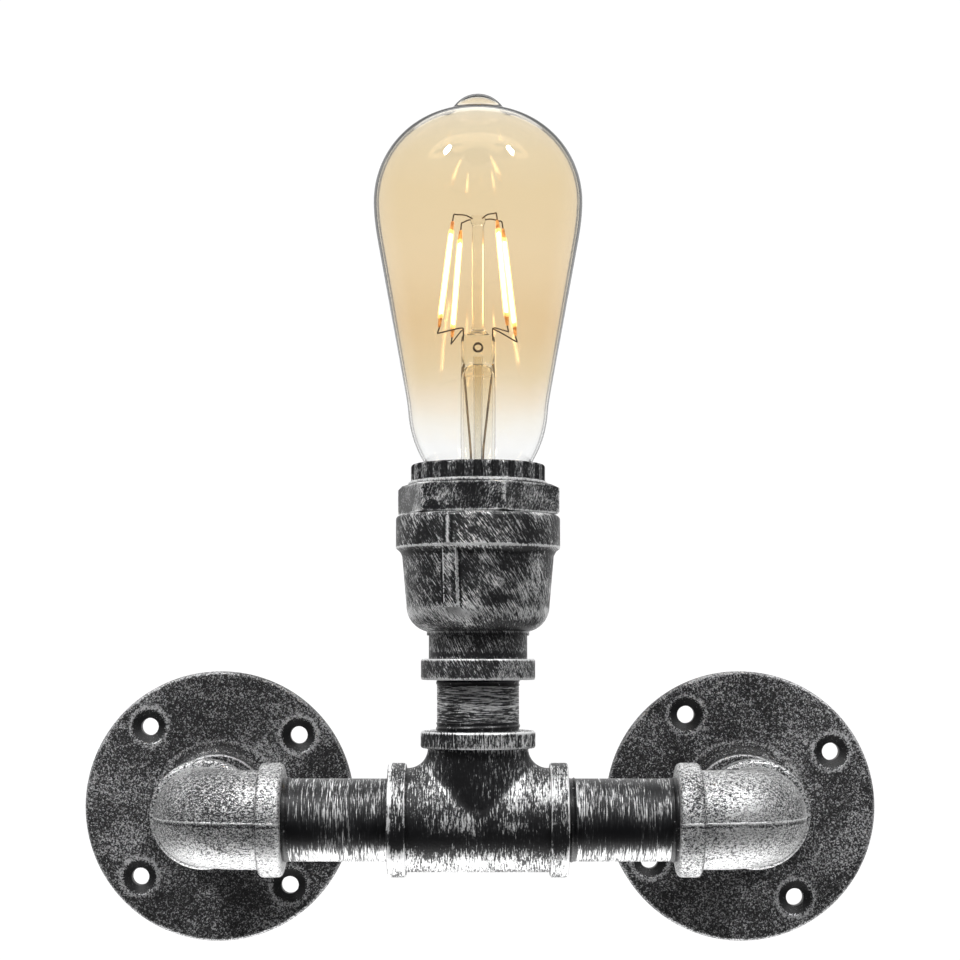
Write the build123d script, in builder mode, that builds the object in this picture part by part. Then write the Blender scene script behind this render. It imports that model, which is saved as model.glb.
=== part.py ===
from build123d import *
import math
import os

os.makedirs("parts", exist_ok=True)

# Frame: the wall is the plane y = 0 and the room lies on its -Y side. X runs along the cross pipe,
# Z points up, and the origin is midway between the two wall flanges at the height of the pipe.

# Layout
flange_spacing = 172.8          # between the axes of the two wall flanges
pipe_from_wall = 62.0           # from the wall to the cross pipe's axis
lamp_x = -0.6                   # the tee sits a little off the middle, as its threads were made up

# Pipe and threaded joints
pipe_od = 25.0
pipe_bore = 20.0
pipe_end_chamfer = 0.6
thread_clearance = 0.1          # radial, between a pipe end and its socket
seat_gap = 0.3                  # between a pipe's end and the floor of its socket
fitting_bore = 20.4

# Wall flange
flange_d = 89.0
plate_t = 5.0
plate_edge_r = 1.4
hub_d = 34.8
hub_height = 12.5               # from the wall to the hub's face
hub_root_r = 3.1
hub_edge_r = 0.8
nipple_recess = 1.0             # from the wall to the end of the wall nipple
screw_edge = 9.4                # from the plate's edge to a screw hole's axis
screw_hole_d = 5.8
screw_dish_d = 11.8
screw_dish_angle = 120.0
screw_count = 4
left_flange_turn = -3.2         # degrees, counter-clockwise seen from the room
right_flange_turn = 75.7

# Elbow
elbow_reach = 26.9              # from the elbow's corner to each end face
elbow_body_d = 30.0
elbow_bend_r = 16.5             # of the centre line
elbow_socket = 9.8
elbow_band_w = 7.4
elbow_band_d = 34.5
elbow_band_r = 1.6

# Tee
tee_half_run = 27.2
tee_body_d = 31.4
tee_band_w = 5.5
tee_band_d = 34.5
tee_branch_step = 0.9           # how much slimmer the branch is than the run
tee_branch_height = 27.0        # from the run's axis to the branch's face
tee_branch_band_w = 5.2
tee_branch_band_d = 34.9
tee_root_r = 6.0
tee_band_r = 0.7
tee_socket = 11.0

# Riser nipple between the tee and the lamp cup
riser_exposed = 15.4

# Lamp cup, heights from its lower face
cup_collar_wall = 4.8
cup_collar_h = 6.4
cup_neck_wall = 2.4
cup_neck_h = 8.3
cup_bead_proud = 0.6
cup_bead_h = 1.2
cup_bowl_h = 8.0
cup_taper = 1.3                 # of the body's radius, from its top down to the bowl
cup_bowl_mid_w = 2.1            # from the bowl's rim in to the middle of its curve
cup_bowl_mid_h = 2.4
cup_body_h = 17.2
cup_band_proud = 1.95
cup_band_h = 10.1
cup_flare_h = 2.6               # the body's curve out to the band
cup_flare_r = 3.6
cup_edge_r = 0.6
cup_lip_r = 1.4                 # of the band's upper edge
cup_wall = 2.0
cup_socket = 12.0
cup_floor_t = 5.0
cup_wire_hole_d = 16.0
cup_ledge_w = 1.8
rib_angle = 20.6                # degrees from the front towards -X, with a twin opposite
rib_w = 4.3
rib_proud = 1.3
rib_drop = 1.1                  # of its foot below the bowl's rim
band_rib_w = 1.4
band_rib_proud = 0.5

# Hexagonal clamp ring
hex_gap = 0.3                   # open line between the cup's mouth and the ring
hex_corner_proud = 0.15         # past the cup's band
hex_h = 8.8
hex_turn = -12.0                # degrees from +X to the first corner
hex_corner_cut = 1.0
hex_skirt_h = 8.0

# Fluted shade ring
ring_gap = 0.3
ring_running = 0.08             # radial, between the ring and the holder's thread
ring_h = 6.1
ring_wall = 1.9
ring_foot_proud = 0.8
ring_foot_h = 1.1
ring_top_r = 0.9
flute_count = 24
flute_d = 3.2
flute_depth = 0.95

# Lampholder, heights from the underside of its collar
holder_d = 37.2
holder_collar_w = 2.4
holder_collar_t = 3.7
holder_collar_gap = 0.1
holder_base_r = 1.5
holder_base_depth = 12.0
holder_floor_depth = 5.0        # from the collar's underside to the floor of its well
holder_lip_below_ring = 1.0
holder_lip_wall = 1.6
holder_mouth_depth = 8.4
holder_well_gap = 0.1
shell_ledge_h = 0.2
shell_ledge_w = 1.5
shell_bore_d = 26.8
shell_t = 0.5
shell_h = 17.5

# Terminals and the centre contact
terminal_x = 9.0
terminal_size = (7.0, 9.0, 5.0)
terminal_roof_t = 1.2
pocket_gap = 0.3
terminal_head_x = 10.4
terminal_head_w = 3.2
terminal_head_h = 1.5
terminal_post_d = 3.0
strip_w = 5.0
terminal_screw_d = 2.5
terminal_screw_l = 1.75         # depth of its hole, which ends short of the wire
terminal_screw_head_d = 3.8
terminal_screw_head_t = 1.6
tongue_root_gap = 0.6           # from its root's middle to the terminal's head
tongue_w = 6.0
tongue_t = 0.5
tongue_tip_x = -2.6
tongue_root_h = 0.8             # above the well's floor
tongue_gap = 0.3                # below the bulb's contact

# Wires
wire_d = 2.2
wire_clearance = 0.1
wire_arc_share = 0.45           # of a straight run that a bend at its end may use
wire_rise = 3.0                 # from the tee's upper face to a wire's bend towards its terminal
wire_straight = 3.0             # below the holder, lined up with the terminal
live_offset = (-3.0, 2.0)       # in the cross pipe: along Y and along Z from its axis
neutral_offset = (3.0, 2.0)
earth_offset = (0.0, -3.0)
wire_spread = 6.0               # of the live and neutral wire from the lamp's axis in the cup's floor
ferrule_d = 3.6
ferrule_pin_d = 1.8
ferrule_sleeve_l = 5.0
ferrule_end_t = 1.0
ferrule_pin_l = 6.0
ferrule_recess = 1.0
earth_boss_y = 10.6             # from the lamp's axis towards the wall
earth_barrel_y = 5.9
earth_lug_d = 6.4
earth_lug_t = 0.8
earth_lug_wall = 0.7            # of its barrel
earth_hole_depth = 4.0
earth_screw_d = 3.5
earth_screw_head_d = 5.8
earth_screw_head_h = 2.4

# Bulb, heights from the underside of its contact
bulb_rise = 3.4                 # of the contact above the floor of the holder's well
bulb_running = 0.3              # radial, between the cap and the screw shell
bulb_contact_d = 9.4
bulb_contact_t = 1.2
bulb_contact_bevel = 1.2
insulator_foot_d = 19.6
insulator_h = 3.0
insulator_rim_h = 1.2
cap_t = 0.4
cap_foot_h = 5.0                # from the contact to the start of the threaded part
cap_h = 22.3
cap_rim_proud = 0.4
cap_rim_h = 1.4
glass_t = 0.8
glass_cap_gap = 0.3
glass_overlap = 5.6             # of the cap over the glass
throat_r = 16.4                 # where the neck's cone ends
throat_h = 30.5
flank_r = 21.5                  # start of the long straight flank
flank_h = 46.7
chest_r = 31.0                  # its end
chest_drop = 11.0               # from the shoulder's centre
shoulder_x = 3.6
shoulder_h = 109.7
shoulder_r = 28.5
tip_base_r = 10.6
tip_waist_r = 7.4
tip_waist_rise = 2.2
tip_rise = 3.7
stem_d = 10.6
stem_t = 0.9
stem_flare_h = 4.0
stem_h = 58.7                   # from the contact to the stem's shoulder
stem_neck_h = 3.5
press_w = 10.4
press_b = 4.4
press_h = 6.5
rod_d = 3.7
rod_l = 37.0
button_d = 4.6
button_h = 2.8
button_edge_h = 0.8
bead_d = 5.4
bead_h = 1.0
bead_taper_h = 2.0
filament_count = 4
filament_turn = 35.0            # degrees from +X to the first filament
filament_d = 1.7
filament_tab_l = 2.4
filament_tab_w = 0.9
filament_tab_t = 0.35
filament_top_r = 9.5            # from the lamp's axis
filament_top_drop = 3.6         # from the rod's top
filament_foot_r = 14.2
filament_foot_rise = 1.6        # above the press
bulb_wire_d = 0.6
crown_drop = 0.8                # from the rod's top
crown_bend_share = 0.7          # of the filament's top radius, where a crown wire levels out
support_x = 3.7
support_rise = 1.2              # out of the press, before the wire turns to its filament
support_drop = 2.2              # from a filament's foot down to the bend of its support wire
lead_top_x = 3.0
lead_foot_x = 1.7
board_l = 22.0
board_t = 1.2
board_h = 10.5
board_gap = 1.1                 # from the board up to the stem
capacitor_d = 6.0
capacitor_h = 9.0
chip_size = (5.0, 2.0, 4.0)

# Derived places
half_spacing = flange_spacing / 2
socket_r = pipe_od / 2 + thread_clearance
holder_r = holder_d / 2
mouth_r = holder_r + holder_collar_w + thread_clearance
body_r = mouth_r + cup_wall
band_r = body_r + cup_band_proud
bowl_r = body_r - cup_taper
neck_r = socket_r + cup_neck_wall
collar_r = socket_r + cup_collar_wall
hex_corner_r = band_r + hex_corner_proud
ring_crown_r = holder_r + ring_wall
ring_foot_r = ring_crown_r + ring_foot_proud
cup_z = tee_branch_height + riser_exposed
collar_top = cup_z + cup_collar_h
neck_top = collar_top + cup_neck_h
bowl_top = neck_top + cup_bowl_h
body_top = bowl_top + cup_body_h
band_top = body_top + cup_band_h
hex_z = band_top + hex_gap
hex_top = hex_z + hex_h
ring_z = hex_top + ring_gap
ring_top = ring_z + ring_h
skirt_r = mouth_r - thread_clearance
skirt_z = hex_z - hex_skirt_h
collar_z = skirt_z - holder_collar_gap - holder_collar_t
holder_base = collar_z - holder_base_depth
holder_floor = collar_z - holder_floor_depth
holder_top = ring_top - holder_lip_below_ring
well_r = shell_bore_d / 2 + shell_t + holder_well_gap
holder_mouth_r = holder_r - holder_lip_wall
mouth_z = holder_top - holder_mouth_depth
shell_z = collar_z + shell_ledge_h
terminal_top = holder_floor - terminal_roof_t
terminal_z = terminal_top - terminal_size[2]
cup_floor_z = cup_z + cup_socket + cup_floor_t

bulb_z = holder_floor + bulb_rise
cap_r = shell_bore_d / 2 - bulb_running
glass_neck_r = cap_r - cap_t - glass_cap_gap
glass_foot_h = cap_h - glass_overlap
tip_base_h = shoulder_h + math.sqrt(shoulder_r ** 2 - (tip_base_r - shoulder_x) ** 2)
press_foot_h = stem_h + stem_neck_h
press_top_h = press_foot_h + press_h
rod_top_h = press_top_h + rod_l

lamp_axis = Axis((lamp_x, -pipe_from_wall, 0), (0, 0, 1))
lamp_section = Plane(origin=(lamp_x, -pipe_from_wall, 0), x_dir=(1, 0, 0), z_dir=(0, -1, 0))
bulb_section = Plane(origin=(lamp_x, -pipe_from_wall, bulb_z), x_dir=(1, 0, 0), z_dir=(0, -1, 0))


def lamp_level(height):
    """Horizontal plane on the lamp's axis, at a height above the cross pipe's axis."""
    return Plane(origin=(lamp_x, -pipe_from_wall, height), x_dir=(1, 0, 0), z_dir=(0, 0, 1))


def lamp_point(x, y, z):
    """A point given from the lamp's axis."""
    return Vector(lamp_x + x, y - pipe_from_wall, z)


def corner_near(sketch, x, y):
    """The corner of a sketch nearest to a place in the sketch's own plane."""
    return sketch.vertices().sort_by_distance((x, y, 0))[0]


# ---- Wall flanges ----

def make_flange(x, turn):
    section = Plane(origin=(x, 0, 0), x_dir=(1, 0, 0), z_dir=(0, 0, -1))
    front = Plane(
        origin=(x, -plate_t, 0),
        x_dir=(math.cos(math.radians(turn)), 0, math.sin(math.radians(turn))),
        z_dir=(0, -1, 0),
    )
    with BuildPart() as flange:
        with BuildSketch(section) as profile:
            with BuildLine():
                Polyline(
                    (socket_r, 0),
                    (flange_d / 2, 0),
                    (flange_d / 2, plate_t),
                    (hub_d / 2, plate_t),
                    (hub_d / 2, hub_height),
                    (socket_r, hub_height),
                    close=True,
                )
            make_face()
            fillet(corner_near(profile, flange_d / 2, plate_t), radius=plate_edge_r)
            fillet(corner_near(profile, hub_d / 2, plate_t), radius=hub_root_r)
            fillet(corner_near(profile, hub_d / 2, hub_height), radius=hub_edge_r)
        revolve(axis=Axis((x, 0, 0), (0, 1, 0)))
        with Locations(front):
            with PolarLocations(flange_d / 2 - screw_edge, screw_count, start_angle=45):
                CounterSinkHole(screw_hole_d / 2, screw_dish_d / 2, depth=plate_t,
                                counter_sink_angle=screw_dish_angle)
    return flange.part


# ---- Pipes ----

def make_pipe(start, length):
    """A plain length of pipe from a plane, along the plane's normal."""
    with BuildPart() as pipe:
        with BuildSketch(start):
            Circle(pipe_od / 2)
            Circle(pipe_bore / 2, mode=Mode.SUBTRACT)
        extrude(amount=length)
        ends = pipe.edges().filter_by(GeomType.CIRCLE)
        chamfer([edge for edge in ends if edge.radius > pipe_bore / 2 + 1], length=pipe_end_chamfer)
    return pipe.part


# ---- Elbows ----

def make_elbow(side):
    """A cast elbow from the cross pipe to the wall nipple; side is -1 on the left, 1 on the right."""
    corner = Vector(side * half_spacing, -pipe_from_wall, 0)
    inward = Vector(-side, 0, 0)
    to_wall = Vector(0, 1, 0)
    first_face = corner + inward * elbow_reach
    second_face = corner + to_wall * elbow_reach
    faces = [
        Plane(origin=first_face, x_dir=(0, 1, 0), z_dir=-inward),
        Plane(origin=second_face, x_dir=(1, 0, 0), z_dir=-to_wall),
    ]
    with BuildPart() as elbow:
        with BuildLine() as route:
            FilletPolyline(first_face, corner, second_face, radius=elbow_bend_r)
        with BuildSketch(faces[0]):
            Circle(elbow_body_d / 2)
        sweep(path=route.line)
        for face in faces:
            section = Plane(origin=face.origin, x_dir=face.z_dir, z_dir=(0, 0, 1))
            with BuildSketch(section) as profile:
                Rectangle(elbow_band_w, elbow_band_d / 2, align=Align.MIN)
                rim = profile.vertices().group_by(Axis.Y)[-1]
                fillet(rim, radius=elbow_band_r)
            revolve(axis=Axis(face.origin, face.z_dir))
        with BuildSketch(faces[0]):
            Circle(fitting_bore / 2)
        sweep(path=route.line, mode=Mode.SUBTRACT)
        for face in faces:
            with BuildSketch(face):
                Circle(socket_r)
            extrude(amount=elbow_socket, mode=Mode.SUBTRACT)
    return elbow.part


for side, name, turn in ((-1, "left", left_flange_turn), (1, "right", right_flange_turn)):
    wall_flange = make_flange(side * half_spacing, turn)
    wall_flange.label = f"{name}_flange"
    export_step(wall_flange, f"parts/{name}_flange.step")

    nipple_start = Plane(origin=(side * half_spacing, -nipple_recess, 0), z_dir=(0, -1, 0))
    nipple_end_y = pipe_from_wall - elbow_reach + elbow_socket - seat_gap
    wall_nipple = make_pipe(nipple_start, nipple_end_y - nipple_recess)
    wall_nipple.label = f"{name}_wall_nipple"
    export_step(wall_nipple, f"parts/{name}_wall_nipple.step")

    elbow = make_elbow(side)
    elbow.label = f"{name}_elbow"
    export_step(elbow, f"parts/{name}_elbow.step")

    pipe_start_x = lamp_x + side * (tee_half_run - tee_socket + seat_gap)
    pipe_end_x = side * (half_spacing - elbow_reach + elbow_socket - seat_gap)
    pipe_start = Plane(origin=(pipe_start_x, -pipe_from_wall, 0), z_dir=(side, 0, 0))
    cross_pipe = make_pipe(pipe_start, abs(pipe_end_x - pipe_start_x))
    cross_pipe.label = f"{name}_cross_pipe"
    export_step(cross_pipe, f"parts/{name}_cross_pipe.step")


# ---- Tee and riser ----

run_end = Plane(origin=(lamp_x - tee_half_run, -pipe_from_wall, 0), x_dir=(0, 1, 0), z_dir=(1, 0, 0))
tee_mouths = [
    (run_end, tee_band_w, tee_band_d),
    (Plane(origin=(lamp_x + tee_half_run, -pipe_from_wall, 0), x_dir=(0, 1, 0), z_dir=(-1, 0, 0)),
     tee_band_w, tee_band_d),
    (Plane(origin=(lamp_x, -pipe_from_wall, tee_branch_height), x_dir=(1, 0, 0), z_dir=(0, 0, -1)),
     tee_branch_band_w, tee_branch_band_d),
]

with BuildPart() as tee:
    with BuildSketch(run_end):
        Circle(tee_body_d / 2)
    extrude(amount=2 * tee_half_run)
    with BuildSketch(lamp_level(0)):
        Circle((tee_body_d - tee_branch_step) / 2)
    extrude(amount=tee_branch_height)
    saddle = tee.edges().filter_by(GeomType.BSPLINE)
    fillet(saddle, radius=tee_root_r)
    for mouth, band_w, band_d in tee_mouths:
        section = Plane(origin=mouth.origin, x_dir=mouth.z_dir, z_dir=(0, 1, 0))
        with BuildSketch(section) as profile:
            Rectangle(band_w, band_d / 2, align=Align.MIN)
            fillet(profile.vertices().group_by(Axis.Y)[-1], radius=tee_band_r)
        revolve(axis=Axis(mouth.origin, mouth.z_dir))
    with BuildSketch(run_end):
        Circle(fitting_bore / 2)
    extrude(amount=2 * tee_half_run, mode=Mode.SUBTRACT)
    with BuildSketch(lamp_level(0)):
        Circle(fitting_bore / 2)
    extrude(amount=tee_branch_height, mode=Mode.SUBTRACT)
    for mouth, band_w, band_d in tee_mouths:
        with BuildSketch(mouth):
            Circle(socket_r)
        extrude(amount=tee_socket, mode=Mode.SUBTRACT)
tee.part.label = "tee"
export_step(tee.part, "parts/tee.step")

riser_z = tee_branch_height - tee_socket + seat_gap
riser_end_z = cup_z + cup_socket - seat_gap
riser_nipple = make_pipe(lamp_level(riser_z), riser_end_z - riser_z)
riser_nipple.label = "riser_nipple"
export_step(riser_nipple, "parts/riser_nipple.step")


# ---- Lamp cup ----

ledge_r = mouth_r - cup_ledge_w
cavity_foot_r = bowl_r - cup_wall
rib_root_r = (mouth_r + body_r) / 2

with BuildPart() as lamp_cup:
    with BuildSketch(lamp_section) as profile:
        with BuildLine():
            outer = Polyline(
                (cup_wire_hole_d / 2, cup_z),
                (collar_r, cup_z),
                (collar_r, collar_top),
                (neck_r, collar_top),
                (neck_r, neck_top - cup_bead_h),
                (neck_r + cup_bead_proud, neck_top - cup_bead_h),
                (neck_r + cup_bead_proud, neck_top),
            )
            bowl = ThreePointArc(
                outer @ 1,
                (bowl_r - cup_bowl_mid_w, neck_top + cup_bowl_mid_h),
                (bowl_r, bowl_top),
            )
            side_wall = Line(bowl @ 1, (body_r, body_top - cup_flare_h))
            flare = RadiusArc(side_wall @ 1, (band_r, body_top), cup_flare_r)
            Polyline(
                flare @ 1,
                (band_r, band_top),
                (mouth_r, band_top),
                (mouth_r, collar_z),
                (ledge_r, collar_z),
                (cavity_foot_r, bowl_top),
                (neck_r, cup_floor_z),
                (cup_wire_hole_d / 2, cup_floor_z),
                outer @ 0,
            )
        make_face()
        for x, y in ((collar_r, cup_z), (collar_r, collar_top), (band_r, body_top)):
            fillet(corner_near(profile, x, y), radius=cup_edge_r)
        fillet(corner_near(profile, band_r, band_top), radius=cup_lip_r)
        fillet(corner_near(profile, neck_r, cup_floor_z), radius=cup_wall)
    revolve(axis=lamp_axis)
    with BuildSketch(lamp_level(cup_z)):
        Circle(socket_r)
    extrude(amount=cup_socket, mode=Mode.SUBTRACT)
    for turn in (-90 - rib_angle, 90 - rib_angle):
        outward = Vector(math.cos(math.radians(turn)), math.sin(math.radians(turn)), 0)
        rib_plane = Plane(origin=lamp_axis.position, x_dir=outward, z_dir=outward.cross(Vector(0, 0, 1)))
        with BuildSketch(rib_plane):
            with BuildLine():
                Polyline(
                    (cavity_foot_r + cup_wall / 2, bowl_top - rib_drop),
                    (bowl_r + rib_proud, bowl_top - rib_drop),
                    (body_r + rib_proud, body_top + cup_edge_r),
                    (rib_root_r, body_top + cup_edge_r),
                    (rib_root_r, collar_z),
                    close=True,
                )
            make_face()
        extrude(amount=rib_w / 2, both=True)
        with BuildSketch(rib_plane):
            with Locations((body_r, body_top + cup_edge_r)):
                Rectangle(
                    cup_band_proud + band_rib_proud,
                    cup_band_h - cup_edge_r - cup_lip_r,
                    align=Align.MIN,
                )
        extrude(amount=band_rib_w / 2, both=True)
    with Locations(lamp_level(cup_floor_z)):
        with Locations((0, earth_boss_y)):
            Hole(earth_screw_d / 2, depth=earth_hole_depth)
lamp_cup.part.label = "lamp_cup"
export_step(lamp_cup.part, "parts/lamp_cup.step")


# ---- Hexagonal clamp ring ----

hex_bore_r = holder_r + thread_clearance

with BuildPart() as cup_hex_ring:
    with BuildSketch(lamp_level(hex_z)):
        RegularPolygon(hex_corner_r, 6, rotation=hex_turn)
    extrude(amount=hex_h)
    with BuildSketch(lamp_section):
        with BuildLine():
            Polyline(
                (0, hex_z),
                (hex_corner_r - hex_corner_cut, hex_z),
                (hex_corner_r, hex_z + hex_corner_cut / 2),
                (hex_corner_r, hex_top - hex_corner_cut),
                (hex_corner_r - 2 * hex_corner_cut, hex_top),
                (0, hex_top),
                close=True,
            )
        make_face()
    revolve(axis=lamp_axis, mode=Mode.INTERSECT)
    with BuildSketch(lamp_level(skirt_z)):
        Circle(skirt_r)
    extrude(amount=hex_skirt_h)
    with BuildSketch(lamp_level(skirt_z)):
        Circle(hex_bore_r)
    extrude(amount=hex_skirt_h + hex_h, mode=Mode.SUBTRACT)
cup_hex_ring.part.label = "cup_hex_ring"
export_step(cup_hex_ring.part, "parts/cup_hex_ring.step")


# ---- Fluted shade ring ----

with BuildPart() as shade_ring:
    with BuildSketch(lamp_section) as profile:
        with BuildLine():
            Polyline(
                (holder_r + ring_running, ring_z),
                (ring_foot_r, ring_z),
                (ring_foot_r, ring_z + ring_foot_h / 2),
                (ring_crown_r, ring_z + ring_foot_h),
                (ring_crown_r, ring_top),
                (holder_r + ring_running, ring_top),
                close=True,
            )
        make_face()
        fillet(corner_near(profile, ring_crown_r, ring_top), radius=ring_top_r)
    revolve(axis=lamp_axis)
    flute_centre_r = ring_crown_r + flute_d / 2 - flute_depth
    with BuildSketch(lamp_level(ring_z + ring_foot_h)):
        with PolarLocations(flute_centre_r, flute_count):
            Circle(flute_d / 2)
    extrude(amount=ring_h, mode=Mode.SUBTRACT)
shade_ring.part.label = "shade_ring"
export_step(shade_ring.part, "parts/shade_ring.step")


# ---- Lampholder ----

terminal_l, terminal_b, terminal_h = terminal_size
strip_x = shell_bore_d / 2 + shell_t / 2

with BuildPart() as lampholder_body:
    with BuildSketch(lamp_section) as profile:
        with BuildLine():
            Polyline(
                (0, holder_base),
                (holder_r, holder_base),
                (holder_r, collar_z),
                (skirt_r, collar_z),
                (skirt_r, collar_z + holder_collar_t),
                (holder_r, collar_z + holder_collar_t),
                (holder_r, holder_top),
                (holder_mouth_r, holder_top),
                (holder_mouth_r, mouth_z),
                (well_r, mouth_z - (holder_mouth_r - well_r) / 2),
                (well_r, shell_z),
                (well_r - shell_ledge_w, shell_z),
                (well_r - shell_ledge_w, holder_floor),
                (0, holder_floor),
                close=True,
            )
        make_face()
        fillet(corner_near(profile, holder_r, holder_base), radius=holder_base_r)
    revolve(axis=lamp_axis)
    for side in (-1, 1):
        with BuildSketch(lamp_level(holder_base)):
            with Locations((side * (terminal_x - terminal_l / 2 - pocket_gap), 0)):
                Rectangle(holder_r, terminal_b + 2 * pocket_gap,
                          align=(Align.MIN if side > 0 else Align.MAX, Align.CENTER))
        extrude(amount=terminal_top + pocket_gap - holder_base, mode=Mode.SUBTRACT)
    with BuildSketch(lamp_level(terminal_top)):
        with Locations((terminal_head_x, 0)):
            Circle(terminal_post_d / 2 + thread_clearance)
    extrude(amount=holder_floor - terminal_top, mode=Mode.SUBTRACT)
    with BuildSketch(lamp_level(terminal_top)):
        with Locations((-strip_x, 0)):
            Rectangle(shell_t + 2 * thread_clearance, strip_w + 2 * thread_clearance)
    extrude(amount=shell_z - terminal_top, mode=Mode.SUBTRACT)
lampholder_body.part.label = "lampholder_body"
export_step(lampholder_body.part, "parts/lampholder_body.step")

with BuildPart() as screw_shell:
    with BuildSketch(lamp_level(shell_z + thread_clearance)):
        Circle(shell_bore_d / 2 + shell_t)
        Circle(shell_bore_d / 2, mode=Mode.SUBTRACT)
    extrude(amount=shell_h)
screw_shell.part.label = "screw_shell"
export_step(screw_shell.part, "parts/screw_shell.step")


def make_terminal_block(side):
    """The brass block in a holder pocket, with its wire hole from below and its side screw hole."""
    with BuildPart() as block:
        with BuildSketch(lamp_level(terminal_z)):
            with Locations((side * terminal_x, 0)):
                Rectangle(terminal_l, terminal_b)
        extrude(amount=terminal_h)
        with BuildSketch(lamp_level(terminal_z)):
            with Locations((side * terminal_x, 0)):
                Circle(wire_d / 2 + wire_clearance)
        extrude(amount=terminal_h / 2, mode=Mode.SUBTRACT)
        screw_start = lamp_point(side * (terminal_x + terminal_l / 2), 0, terminal_z + terminal_h / 2)
        with BuildSketch(Plane(origin=screw_start, z_dir=(-side, 0, 0))):
            Circle(terminal_screw_d / 2 + thread_clearance)
        extrude(amount=terminal_screw_l, mode=Mode.SUBTRACT)
    return block.part


centre_block = make_terminal_block(1)
with BuildPart() as centre_terminal:
    add(centre_block)
    with BuildSketch(lamp_level(terminal_top)):
        with Locations((terminal_head_x, 0)):
            Circle(terminal_post_d / 2)
    extrude(amount=holder_floor - terminal_top)
    with BuildSketch(lamp_level(holder_floor)):
        with Locations((terminal_head_x, 0)):
            Rectangle(terminal_head_w, tongue_w)
    extrude(amount=terminal_head_h)
centre_terminal.part.label = "centre_terminal"
export_step(centre_terminal.part, "parts/centre_terminal.step")

shell_block = make_terminal_block(-1)
with BuildPart() as shell_terminal:
    add(shell_block)
    strip_foot = terminal_top - shell_t
    with BuildSketch(lamp_level(strip_foot)):
        with Locations((-terminal_x, 0)):
            Rectangle(strip_x + shell_t / 2 - terminal_x, strip_w, align=(Align.MAX, Align.CENTER))
    extrude(amount=shell_t)
    with BuildSketch(lamp_level(strip_foot)):
        with Locations((-strip_x, 0)):
            Rectangle(shell_t, strip_w)
    extrude(amount=shell_z + thread_clearance - strip_foot)
shell_terminal.part.label = "shell_terminal"
export_step(shell_terminal.part, "parts/shell_terminal.step")

with BuildPart() as terminal_screws:
    for side in (-1, 1):
        head_x = terminal_x + terminal_l / 2
        under_head = lamp_point(side * head_x, 0, terminal_z + terminal_h / 2)
        with BuildSketch(Plane(origin=under_head, z_dir=(side, 0, 0))):
            Circle(terminal_screw_head_d / 2)
        extrude(amount=terminal_screw_head_t)
        with BuildSketch(Plane(origin=under_head, z_dir=(-side, 0, 0))):
            Circle(terminal_screw_d / 2)
        extrude(amount=terminal_screw_l - seat_gap)
terminal_screws.part.label = "terminal_screws"
export_step(terminal_screws.part, "parts/terminal_screws.step")

tongue_root_x = terminal_head_x - terminal_head_w / 2 - tongue_root_gap
tongue_top = bulb_z - tongue_gap
with BuildPart() as contact_tongue:
    with BuildSketch(lamp_section):
        with BuildLine() as leaf:
            rise = Line((tongue_root_x, holder_floor + tongue_root_h), (-tongue_tip_x, tongue_top - tongue_t))
            ThreePointArc(rise @ 1, (0, tongue_top - tongue_t / 2), (tongue_tip_x, rise.position_at(1).Y))
            offset(amount=tongue_t / 2)
        make_face()
    extrude(amount=tongue_w / 2, both=True)
contact_tongue.part.label = "contact_tongue"
export_step(contact_tongue.part, "parts/contact_tongue.step")


# ---- Wires ----

def make_wire(points):
    """A round wire along straight runs joined by the largest tangent arcs that the runs allow."""
    radii = []
    for before, here, after in zip(points, points[1:], points[2:]):
        first, second = here - before, after - here
        half_turn = math.radians(first.get_angle(second)) / 2
        radii.append(wire_arc_share * min(first.length, second.length) / math.tan(half_turn))
    with BuildPart() as wire:
        with BuildLine() as route:
            FilletPolyline(*points, radius=radii)
        path = route.wires()[0]
        with BuildSketch(Plane(origin=path @ 0, z_dir=path % 0)):
            Circle(wire_d / 2)
        sweep(path=path)
    share = wire.part.volume / (math.pi * wire_d ** 2 / 4 * path.length)
    print("wire length", round(path.length, 1), "volume share", round(share, 4))
    print("radii", [round(radius, 1) for radius in radii])
    return wire.part


def pipe_run(offset_y, offset_z):
    """The corners that every wire shares, from the wall to the riser."""
    corner_x = -half_spacing + offset_y
    return [
        Vector(corner_x, -ferrule_recess - ferrule_pin_l, offset_z),
        Vector(corner_x, -pipe_from_wall + offset_y, offset_z),
        lamp_point(-offset_z, offset_y, offset_z),
    ]


def wire_end(side):
    """The corners of a wire from the riser to its terminal."""
    return [
        lamp_point(side * wire_spread, 0, cup_floor_z),
        lamp_point(side * terminal_x, 0, holder_base - wire_straight),
        lamp_point(side * terminal_x, 0, terminal_z + terminal_h / 2 - seat_gap),
    ]


riser_turn_z = tee_branch_height + wire_rise
live_points = pipe_run(*live_offset)
live_points += [lamp_point(-live_offset[1], live_offset[0], riser_turn_z)] + wire_end(1)
live_wire = make_wire(live_points)
live_wire.label = "live_wire"
export_step(live_wire, "parts/live_wire.step")

neutral_points = pipe_run(*neutral_offset)
neutral_points += [lamp_point(-neutral_offset[1], neutral_offset[0], riser_turn_z)] + wire_end(-1)
neutral_wire = make_wire(neutral_points)
neutral_wire.label = "neutral_wire"
export_step(neutral_wire, "parts/neutral_wire.step")

earth_points = pipe_run(*earth_offset)
earth_points += [
    lamp_point(-earth_offset[1], 0, tee_branch_height - wire_rise),
    lamp_point(0, earth_barrel_y, cup_z + wire_rise),
    lamp_point(0, earth_barrel_y, cup_floor_z - seat_gap),
]
earth_wire = make_wire(earth_points)
earth_wire.label = "earth_wire"
export_step(earth_wire, "parts/earth_wire.step")

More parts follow.
